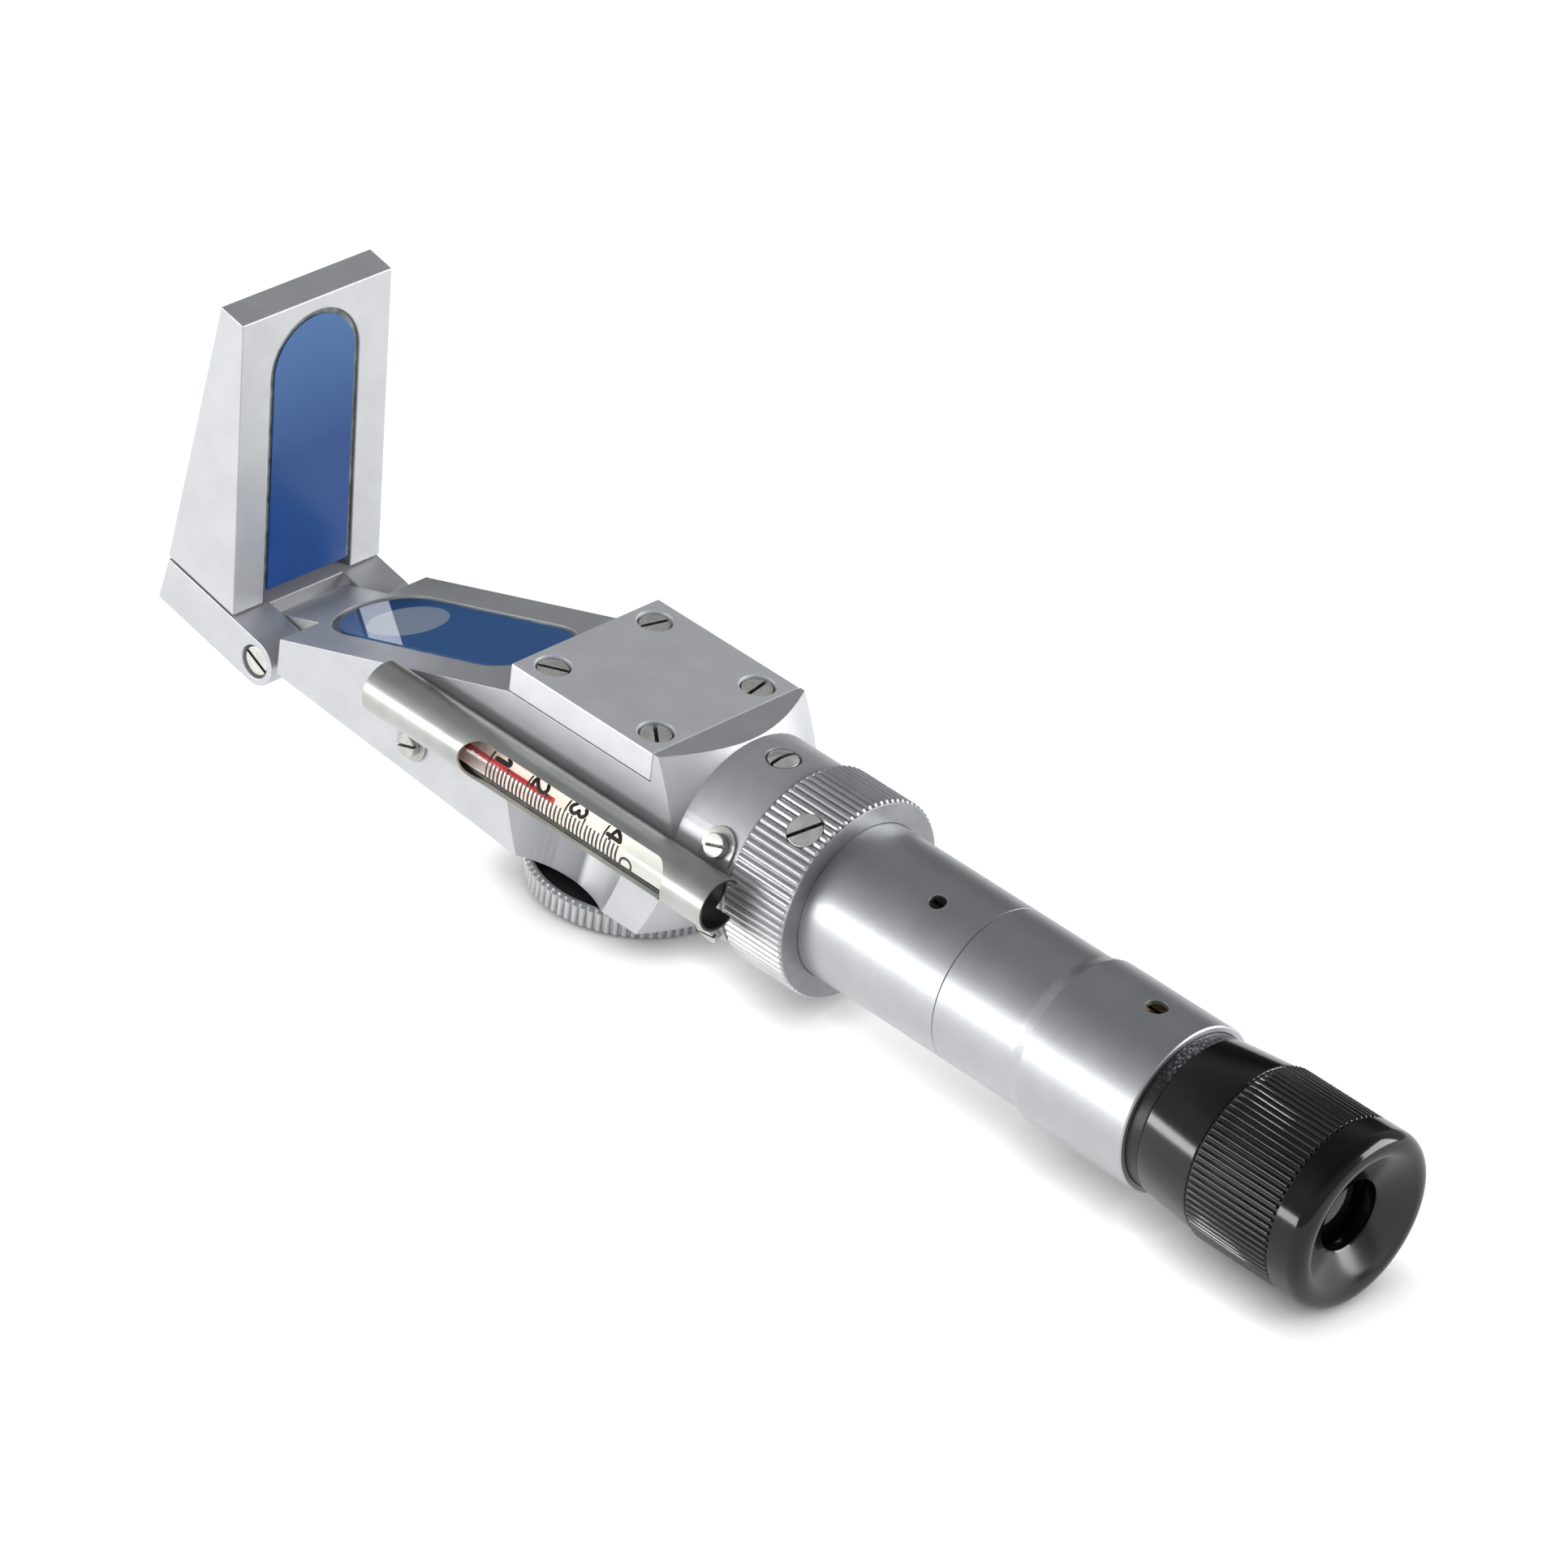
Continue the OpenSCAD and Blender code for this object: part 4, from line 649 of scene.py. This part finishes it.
def rib(length, low, high, foot, crest, end):
    """A bar along X that stands from radius low to high. foot and crest are its widths.

    end is the length of its end chamfers. All are in mm.
    """
    tall = high - low
    # Half of its section, from the foot up: a steep flank, then a rounded back.
    half = [(foot / 2, low), (foot / 2 * 0.9, low + tall * 0.42), (crest / 2 * 1.12, high - 0.15),
            (crest / 2 * 0.82, high - 0.05), (crest / 4, high)]
    section = [(-y, z) for y, z in half] + half[::-1]
    # Both ends sink almost to the foot, and their foot goes a little into the core.
    sunk = tall - 0.02
    work = bmesh.new()
    rings = []
    for x, drop in ((0, sunk), (end, 0), (length - end, 0), (length, sunk)):
        heights = [max(z - drop, low - 0.05 + (z - low) * 0.1) for _, z in section]
        rings.append([work.verts.new(Vector((x, y, z)) * MM)
                      for (y, _), z in zip(section, heights)])
    for one, two in zip(rings, rings[1:]):
        for k in range(len(section)):
            m = (k + 1) % len(section)
            work.faces.new((one[k], one[m], two[m], two[k]))
    work.faces.new(rings[0][::-1])
    work.faces.new(rings[-1])
    bmesh.ops.recalc_face_normals(work, faces=work.faces)
    mesh = bpy.data.meshes.new("rib")
    work.to_mesh(mesh)
    work.free()
    smooth(mesh, RIB_ANGLE)
    return mesh


def ribbed(name, x, count, pattern, finish):
    """Copies of a rib round the telescope axis, starting at x millimetres."""
    places = [(at(x, 0, 0), Matrix.Rotation(2 * pi * k / count, 3, "X")) for k in range(count)]
    return copy_to(name, places, pattern, finish)


ring_bar = rib(13.46, 18.15, 18.65, 1.2, 0.66, 0.45)
ring_ribs = ribbed("ring_ribs", 109.62, RING_RIBS, ring_bar, turned_aluminium)
ring_outline = [(109.5, 14.55, 0.1), (109.5, 18.25, 0.2), (123.2, 18.25, 0.2), (123.2, 14.55, 0.1)]
ring_core = lathe("ring_core", rounded(ring_outline), 168)
grip_bar = rib(17.75, 15.5, 16.1, 0.86, 0.42, 0.4)
grip_ribs = ribbed("grip_ribs", 211.9, GRIP_RIBS, grip_bar, black_ribs)
grip_outline = [(211.8, 14.42, 0), (211.8, 15.6, 0.1), (229.68, 15.68, 0.1), (229.68, 14.42, 0)]
grip_core = lathe("grip_core", rounded(grip_outline), 180)

# %% [markdown]
# The ring's screw sits in a flat-bottomed hole that was drilled through the ribs. A boolean
# with the drill's own shape cuts core and ribs alike, as the real drill did.

# %% The drilled seat of the ring screw
RING_SCREW_X, RING_SCREW_ANGLE, RING_SEAT_R = 118.1, 33.6, 16.95
ring_screw_frame = (Matrix.Translation(at(RING_SCREW_X, 0, 0))
                    @ Matrix.Rotation(radians(RING_SCREW_ANGLE), 4, "X"))


def drilled(mesh, drill):
    """The mesh with the drill's solid cut out of it."""
    host = bpy.data.objects.new("to_drill", mesh)
    bit = bpy.data.objects.new("drill", drill)
    for o in (host, bit):
        bpy.context.scene.collection.objects.link(o)
    cut = host.modifiers.new("drill", "BOOLEAN")
    cut.operation, cut.solver, cut.object = "DIFFERENCE", "EXACT", bit
    seen = host.evaluated_get(bpy.context.evaluated_depsgraph_get())
    result = bpy.data.meshes.new_from_object(seen)
    for o in (host, bit):
        bpy.data.objects.remove(o)
    smooth(result)
    return result


drill_outline = [(RING_SEAT_R, 0), (RING_SEAT_R, 3.32), (20, 3.32), (20, 0)]
drill = lathe("drill", drill_outline, 64, ring_screw_frame, "Z")
ring_ribs = drilled(ring_ribs, drill)
ring_core = drilled(ring_core, drill)
publish(ring_core, "ring_core", ring_floor_painted_shade, "compensator", "satin_aluminium", "compensator_ring")
publish(ring_ribs, "ring_ribs", turned_aluminium, "compensator", "satin_aluminium")
publish(grip_core, "grip_core", black_matt, "eyepiece", "black_turned", "focus_grip")
publish(grip_ribs, "grip_ribs", black_ribs, "eyepiece", "black_turned")
print("drilled ring, faces:", len(ring_core.polygons), "core,", len(ring_ribs.polygons), "ribs")

# %% [markdown]
# The thumb wheel under the body is a flat disc with coarse upright ribs. Its top is turned
# out to a thin bright rim round a black disc, which shows where the finger scoop opens.

# %% Thumb wheel
WHEEL_X, WHEEL_FOOT = 72.9, -22.63
wheel_frame = Matrix.Translation(at(WHEEL_X, 0, WHEEL_FOOT))
wheel_outline = [(0, 3.9, 0), (0, 18.9, 0.3), (4.18, 18.95, 0.25), (4.18, 18.1, 0.2),
                 (2.28, 18.1, 0), (2.28, 5.0, 0), (4.18, 5.0, 0.1), (4.18, 2.25, 0),
                 (2.4, 2.25, 0), (2.4, 3.9, 0)]
wheel_core = lathe("wheel_core", rounded(wheel_outline), 152, wheel_frame, "Z")
upright = rib(4.1, 18.85, 19.6, 1.1, 0.72, 0.35)
upright.transform(Matrix.Rotation(-pi / 2, 4, "Y") @ Matrix.Rotation(pi, 4, "X"))
RIBS_LIFT = 0.04
ribs_foot = at(WHEEL_X, 0, WHEEL_FOOT + RIBS_LIFT)
places = [(ribs_foot, Matrix.Rotation(2 * pi * k / WHEEL_RIBS, 3, "Z"))
          for k in range(WHEEL_RIBS)]
wheel_ribs = copy_to("wheel_ribs", places, upright, turned_aluminium)
publish(wheel_core, "wheel_core", turned_aluminium, "scale_wheel", "satin_aluminium",
        "thumb_wheel")
publish(wheel_ribs, "wheel_ribs", turned_aluminium, "scale_wheel", "satin_aluminium")

# %% [markdown]
# Cheese-head screws are short turned cylinders with a saw cut across. The head is spun on the
# lathe, its slot is cut with a boolean and marked for a painted shade, and the tree of copies puts
# one in each hole with its own turn, because hand-driven screws never line up.

# %% Screws
def slotted(name, radius, height, shank, shank_length, slot=0.7, depth=0.8, crown=0.0):
    """A screw along Z, its head standing on z = 0. crown is the rise of a domed head."""
    top = [(height + crown * (1 - share * share), share * radius, 0)
           for share in (0.85, 0.6, 0.3, 0)]
    corners = [(-shank_length, 0, 0), (-shank_length, shank, 0.1), (0, shank, 0),
               (0, radius, 0.08), (height, radius, 0.16)] + (top if crown else top[-1:])
    turned = lathe(name, rounded(corners), 48, Matrix.Identity(4), "Z")
    saw = bmesh.new()
    bmesh.ops.create_cube(saw, size=1)
    bmesh.ops.scale(saw, vec=(2.4 * radius * MM, slot * MM, 2 * depth * MM), verts=saw.verts)
    bmesh.ops.translate(saw, vec=(0, 0, height * MM), verts=saw.verts)
    blade = bpy.data.meshes.new("saw")
    saw.to_mesh(blade)
    saw.free()
    cut = drilled(turned, blade)
    hair = 0.001
    sawn = cut.attributes.new("sawn", "BOOLEAN", "FACE")
    for face in cut.polygons:
        sawn.data[face.index].value = (abs(face.center.y) < (slot / 2 + hair) * MM
                                       and face.center.z > (height - depth - hair) * MM)
    return cut


def screws(name, pattern, places, finish, body, slot, *nodes):
    """Places are (x, y, z, tilt matrix, turn of the slot in degrees)."""
    spots = [(at(x, y, z), tilt.to_3x3() @ Matrix.Rotation(radians(turned), 3, "Z"))
             for x, y, z, tilt, turned in places]
    publish(copy_to(name, spots, pattern, finish), name, finish, body, slot, *nodes)


UPRIGHT = Matrix.Identity(3)
PLATE_SEAT = 15.6
plate_holes = [(59.8, -12.1), (59.8, 12.1), (84.6, -12.1), (84.6, 12.1)]
plate_turns = (30, 75, 140, 100)
plate_places = [(x, y, PLATE_SEAT, UPRIGHT, t) for (x, y), t in zip(plate_holes, plate_turns)]
screws("plate_screw_heads", slotted("plate_screw", 2.7, 1.7, 1.5, 6), plate_places, nickel,
       "instrument", "nickel_screws", "plate_screws")
screws("neck_screw_head", slotted("neck_screw", 2.7, 1.2, 1.5, 2.9, crown=0.5),
       [(102.8, 0, 16.2, UPRIGHT, 87)], nickel, "instrument", "nickel_screws", "neck_screw")


def round_neck(x, radius, angle):
    """The place and tilt of a screw that stands on a round surface."""
    a = radians(angle)
    return x, -radius * sin(a), radius * cos(a), Matrix.Rotation(a, 3, "X")


screws("ring_screw_head", slotted("ring_screw", 3.15, 1.62, 1.5, 4.6, slot=0.75),
       [(*round_neck(RING_SCREW_X, RING_SEAT_R, RING_SCREW_ANGLE), 55)], nickel, "compensator",
       "nickel_screws", "ring_screw")
NEAR_SIDE, FAR_SIDE = Matrix.Rotation(pi / 2, 3, "X"), Matrix.Rotation(-pi / 2, 3, "X")
EAR_X, EAR_R = 105.1, 18.13
small_head = slotted("holder_screw", 2.15, 1.4, 1.0, 3.2, slot=0.55, depth=0.7)
screws("holder_screw_heads", small_head,
       [(34.2, -18.03, -9.3, NEAR_SIDE, 18), (*round_neck(EAR_X, EAR_R, 65), 18),
        (*round_neck(EAR_X, EAR_R, 121), 18)], bright_zinc, "instrument", "nickel_screws",
       "holder_screws")
HINGE_X, HINGE_Y, HINGE_Z = -5.75, 15.3, -13.93
pin = slotted("hinge_pin", 2.7, 1.7, 1.75, 12)
screws("hinge_pin_heads", pin, [(HINGE_X, -HINGE_Y, HINGE_Z, NEAR_SIDE, 155),
                                (HINGE_X, HINGE_Y, HINGE_Z, FAR_SIDE, 155)],
       nickel, "instrument", "nickel_screws", "hinge_pins")

# %% [markdown]
# The lid hangs open, so its own two screws point down and back. Their place is counted
# along the fork from the hinge, in the direction that the opened fork has.

# %% Screws under the fork
FORK_TURN, SCREW_ALONG, SCREW_OFF = radians(168.5), 18.4, 4.4
along_fork = Vector((cos(FORK_TURN), 0, sin(FORK_TURN)))
off_fork = Vector((-sin(FORK_TURN), 0, cos(FORK_TURN)))
foot = Vector((HINGE_X, 0, HINGE_Z)) + along_fork * SCREW_ALONG + off_fork * SCREW_OFF
screws("fork_screw_heads", slotted("fork_screw", 2.7, 1.7, 1.5, 12),
       [(foot.x, y, foot.z, Matrix.Rotation(-FORK_TURN, 3, "Y"), 75) for y in (-13, 13)], nickel,
       "lid", "nickel_screws", "fork_screws")

# %% [markdown]
# The thermometer is a closed glass tube. A cream enamel stripe on the back of its bore makes
# the thin red column easy to read, and the marks are fired on the outside of the glass. The
# stripe is an arc-shaped shell. A mark is drawn flat, as a stroke with round ends, in
# millimetres along the tube and degrees round it, then wrapped on the glass.

# %% Enamel stripe behind the column
MARK_R = 3.92
STRIPE_FROM, STRIPE_SWEEP, STRIPE_STEPS = 112, 212, 36
TUBE_AXIS = Matrix.Translation(at(0, TUBE_Y, TUBE_Z))


def round_tube(x, degrees_up, r):
    """A place on the tube: degrees count from the front upwards."""
    a = radians(degrees_up)
    return Vector((x, -r * cos(a), r * sin(a))) * MM


stripe = bmesh.new()
stripe_section = ((43, 3.1), (43, 3.26), (105.9, 3.26), (105.9, 3.1))
arcs = [[stripe.verts.new(round_tube(x, STRIPE_FROM + STRIPE_SWEEP * k / STRIPE_STEPS, r))
         for x, r in stripe_section] for k in range(STRIPE_STEPS + 1)]
for one, two in zip(arcs, arcs[1:]):
    for k in range(4):
        m = (k + 1) % 4
        stripe.faces.new((one[k], one[m], two[m], two[k]))
stripe.faces.new(arcs[0])
stripe.faces.new(arcs[-1])
bmesh.ops.recalc_face_normals(stripe, faces=stripe.faces)
stripe.transform(TUBE_AXIS)
stripe_mesh = bpy.data.meshes.new("enamel_stripe")
stripe.to_mesh(stripe_mesh)
stripe.free()
smooth(stripe_mesh)
publish(stripe_mesh, "enamel_stripe", card, "instrument", "scale_card", "scale_strip")
print("enamel stripe covers", STRIPE_SWEEP, "degrees")
tube_outline = [(31.7, 0, 0), (31.7, 3.9, 1.4), (106.7, 3.9, 1.4), (106.7, 0, 0),
                (106.1, 0, 0), (106.1, 3.3, 1.0), (32.3, 3.3, 1.0), (32.3, 0, 0)]
tube = lathe("glass_tube", rounded(tube_outline), 128, TUBE_AXIS)
publish(tube, "glass_tube", clear_glass, "instrument", "clear_glass", "thermometer_glass")

# %% [markdown]
# A pen stroke is drawn as a flat band through a few points, with a soft curve between them
# and round ends. Fired marks are such bands, given a little thickness and wrapped on the
# glass, so one pair of functions draws every dash and digit.

# %% Strokes wrapped on the glass
MARK_THICK = 0.03


def stroke(work, points, width, steps=5):
    """One pen stroke through points (mm along, degrees up), flat in work, with round ends."""
    flat = [Vector((x, radians(a) * MARK_R)) for x, a in points]
    path = [flat[0]]
    for i in range(len(flat) - 1):
        before, one, two, after = (flat[max(0, min(len(flat) - 1, i + k))] for k in (-1, 0, 1, 2))
        for k in range(1, steps + 1):
            t = k / steps
            path.append(0.5 * (2 * one + (two - before) * t
                               + (2 * before - 5 * one + 4 * two - after) * t ** 2
                               + (3 * one - before - 3 * two + after) * t ** 3))
    sides = []
    for i, here in enumerate(path):
        run = (path[min(i + 1, len(path) - 1)] - path[max(i - 1, 0)]).normalized()
        sides.append((here, run, Vector((-run.y, run.x)) * width / 2))
    rows = [[work.verts.new((*(here + off * k), 0)) for k in (-1, 1)] for here, run, off in sides]
    for one, two in zip(rows, rows[1:]):
        work.faces.new((one[0], two[0], two[1], one[1]))
    for row, (here, run, off), way in ((rows[0], sides[0], -1), (rows[-1], sides[-1], 1)):
        cap = [work.verts.new((*(here + off * cos(a) + run * way * sin(a) * width / 2), 0))
               for a in (pi / 4, pi / 2, 3 * pi / 4)]
        work.faces.new((row[1], *cap, row[0]))


def fired(name, strokes):
    """Strokes as thin solid marks, wrapped round the tube's axis at the glass."""
    work = bmesh.new()
    for points, width in strokes:
        stroke(work, points, width)
    bmesh.ops.recalc_face_normals(work, faces=work.faces)
    bmesh.ops.solidify(work, geom=work.faces[:], thickness=MARK_THICK)
    for v in work.verts:
        v.co = round_tube(v.co.x, degrees(v.co.y / MARK_R), MARK_R + v.co.z)
    bmesh.ops.recalc_face_normals(work, faces=work.faces)
    mesh = bpy.data.meshes.new(name)
    work.to_mesh(mesh)
    work.free()
    return mesh


print("marks stand", MARK_THICK, "mm on the glass at radius", MARK_R)

# %% [markdown]
# A period of the scale is ten small marks: nine short, one of them at half-way a little
# longer, and a long one beside its digit. The tree of copies sets each kind along the tube.

# %% Scale marks
FIRST, PERIOD = 60.2, 9.2
STEP = PERIOD / 10
small = [FIRST + STEP * k for k in range(36) if k % 5]
halves = [FIRST + PERIOD * (k + 0.5) - 0.05 for k in range(3)]
longs = [FIRST + PERIOD * k for k in range(4)]
kinds = [("small_marks", small, [([(0, 26), (0, 2), (-0.05, -20)], 0.44)]),
         ("half_marks", halves, [([(0, 39), (0, 10), (-0.1, -52)], 0.38)]),
         ("long_marks", longs, [([(0.05, 58), (0, 20), (-0.1, -52)], 0.38)]),
         ("foot_dashes", longs, [([(0.8, -36), (2.0, -41), (3.6, -50)], 0.34)])]
for name, along_tube, strokes in kinds:
    spots = [(at(x, TUBE_Y, TUBE_Z), UPRIGHT) for x in along_tube]
    publish(copy_to(name, spots, fired(name, strokes), printed_black), name, printed_black,
            "instrument", "scale_card")

# %% [markdown]
# The digits read across the tube, so their tops point along it. They are drawn with a
# thick pen, stroke by stroke, as the glassblower's stencil has them: 1, 2, 3 and 4, and the
# open curve of a C for the unit. Each stroke is its points and its width.

# %% Digits
DIGITS = [
    ([(61.35, 46.5), (64.25, 47.5)], 0.86), ([(64.35, 46.5), (64.3, 54), (63.5, 61)], 0.7),
    ([(70.35, 37.5), (70.3, 50), (70.45, 61)], 0.7),
    ([(70.5, 61), (71.4, 46), (72.3, 36.5)], 0.72),
    ([(72.3, 36.5), (73.1, 37.5), (73.55, 48), (73.1, 60.5)], 0.72),
    ([(80.05, 61), (79.45, 50), (79.6, 40), (80.3, 35), (80.9, 40), (81.15, 48)], 0.7),
    ([(81.15, 48), (81.4, 41), (82.05, 37), (82.6, 43), (82.7, 52), (82.2, 60.5)], 0.7),
    ([(89.7, 61), (89.4, 46), (89.25, 32)], 0.7), ([(88.45, 39), (91.45, 37.8)], 0.72),
    ([(91.5, 38), (90.9, 50), (89.8, 60.5)], 0.7),
    ([(92.85, -27), (92.6, -12), (93.0, 5), (93.9, 9.5), (94.9, 6), (95.25, -8), (94.4, -25)],
     0.42),
]
digits = fired("scale_digits", DIGITS)
digits.transform(TUBE_AXIS)
publish(digits, "scale_digits", printed_black, "instrument", "scale_card")
print("digit strokes:", len(DIGITS), "faces:", len(digits.polygons))

# %% [markdown]
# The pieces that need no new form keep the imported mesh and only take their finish: the
# packed name and its finish stand side by side, as on a parts list.

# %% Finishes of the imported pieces
FINISHES = {
    "measuring_prism": body_glass, "lid_prism": lid_glass, "prism_cement": cement,
    "lid_cement": cement, "light_window": opal, "thermometer_packing": packing,
    "liquid_column": spirit_painted_glow,
    "set_screws": black_steel, "objective_cell": black_matt, "reticle_cell": black_matt,
    "compensator_cell": black_matt, "lens_carrier": black_matt, "lens_retainer": black_matt,
    "objective_lens": coated_glass, "reticle": coated_glass, "field_lens": coated_glass,
    "compensator_prisms": coated_glass, "guide_screw": brass, "wheel_pivot": nickel,
    "wheel_disc": black_matt,
}
for node, finish in FINISHES.items():
    mesh = frame["nodes"][node].data
    mesh.materials.clear()
    mesh.materials.append(finish)
print("finished as packed:", len(FINISHES))

# %% [markdown]
# The instrument lies on a light table: a large white sheet, lit from below, that only the
# instrument itself darkens close by, so the shadows stay small. Ambient occlusion finds
# how open the sheet is around each place, and that drives its glow. The sheet touches the
# wheel and the eyecup, so it runs through both.

# %% The sheet it lies on
WHEEL_TOUCH, CUP_TOUCH = Vector((92.5, 0, -22.63)), Vector((233.8, 0, -16.2))
slope = (CUP_TOUCH.z - WHEEL_TOUCH.z) / (CUP_TOUCH.x - WHEEL_TOUCH.x)
SHEET_HALF = 3000
sheet_mesh = bpy.data.meshes.new("paper_sheet")
corners = [(x * SHEET_HALF, y * SHEET_HALF,
            WHEEL_TOUCH.z + slope * (x * SHEET_HALF - WHEEL_TOUCH.x))
           for x, y in ((-1, -1), (1, -1), (1, 1), (-1, 1))]
sheet_mesh.from_pydata([at(*c) for c in corners], [], [(0, 1, 2, 3)])
sheet = bpy.data.objects.new("paper_sheet", sheet_mesh)
bpy.context.scene.collection.objects.link(sheet)
paper, tree, shader = blank("lit_white_paper", "8C8C8C", 0.95)
shader.inputs["Emission Color"].default_value = linear("FFFFFF")
SHADOW_REACH, GLOW = 7.5 * MM, 0.91
open_share = add(tree, "ShaderNodeAmbientOcclusion", {"Distance": SHADOW_REACH},
                 samples=12).outputs["AO"]
glow = add(tree, "ShaderNodeMath", {0: open_share, 1: GLOW}, operation="MULTIPLY").outputs[0]
tree.links.new(glow, shader.inputs["Emission Strength"])
place = add(tree, "ShaderNodeTexCoord").outputs["Object"]
fibre = add(tree, "ShaderNodeTexNoise", {"Vector": place, "Scale": 1 / (60 * MM)}).outputs[0]
tint = add(tree, "ShaderNodeValToRGB", {"Fac": fibre}, [(0.3, "8B8B8C"), (0.7, "8E8E8E")])
tree.links.new(tint.outputs[0], shader.inputs["Base Color"])
sheet_mesh.materials.append(paper)
print("the sheet slopes by", round(slope * 100, 2), "mm in 100 mm")

# %% [markdown]
# Metal shows its surroundings, so the light is drawn as surroundings: a long low strip in
# front on the left gives the bright band along the tube, a soft box behind on the right
# gives the white edges, and the tent above is a darker grey, which makes the tops of the
# tubes dark. A large fill in front lights the matt share of every finish without showing in
# the polished ones. A dark flag stands low behind the nose, where the prism's sloping face
# mirrors it, so the blue of the glass stays deep.

# %% Lights
def soft_box(name, direction, distance, width, height, watts, card="FFFFFF"):
    """A rectangular light at a distance in metres that faces the instrument."""
    light = bpy.data.lights.new(name, "AREA")
    light.shape, light.size, light.size_y, light.energy = "RECTANGLE", width, height, watts
    light.color = linear(card)[:3]
    held = bpy.data.objects.new(name, light)
    bpy.context.scene.collection.objects.link(held)
    toward = Vector(direction).normalized()
    held.location = at(100, 0, 0) + toward * distance
    held.rotation_euler = toward.to_track_quat("Z", "Y").to_euler()
    print(name, "at", [round(v, 2) for v in held.location])
    return held


soft_box("front_strip", (-0.57, -0.82, 0.03), 1.2, 1.0, 0.24, 8)
fill = soft_box("matt_fill", (-0.35, -0.8, 0.6), 1.6, 1.2, 1.2, 11)
fill.visible_glossy = False
soft_box("back_box", (0.68, 0.66, 0.32), 1.35, 0.8, 0.7, 16)

world = bpy.data.worlds.new("light_tent")
bpy.context.scene.world = world
world.use_nodes = True
tree = world.node_tree
tree.nodes.clear()
look = add(tree, "ShaderNodeTexCoord").outputs["Generated"]
height = add(tree, "ShaderNodeSeparateXYZ", {"Vector": look}).outputs["Z"]
grey = add(tree, "ShaderNodeValToRGB", {"Fac": height},
           [(0.0, "A8A9AD"), (0.5, "B2B3B7"), (0.7, "8E8F93"), (0.85, "6E6F73"),
            (1.0, "626367")])
FLAG_EDGE, FLAG_CORE, FLAG_SHADE = 0.8, 0.93, 0.06
flag = Vector((-0.77, 0.63, 0.1)).normalized()
facing = add(tree, "ShaderNodeVectorMath", {0: look, 1: flag},
             operation="DOT_PRODUCT").outputs["Value"]
shade = add(tree, "ShaderNodeMapRange", {"Value": facing, "From Min": FLAG_EDGE,
                                         "From Max": FLAG_CORE, "To Min": 1.0,
                                         "To Max": FLAG_SHADE})
tent = add(tree, "ShaderNodeBackground", {"Color": grey.outputs[0], "Strength": shade.outputs[0]})
add(tree, "ShaderNodeOutputWorld", {"Surface": tent.outputs[0]})
bpy.context.scene.view_settings.view_transform = "Standard"
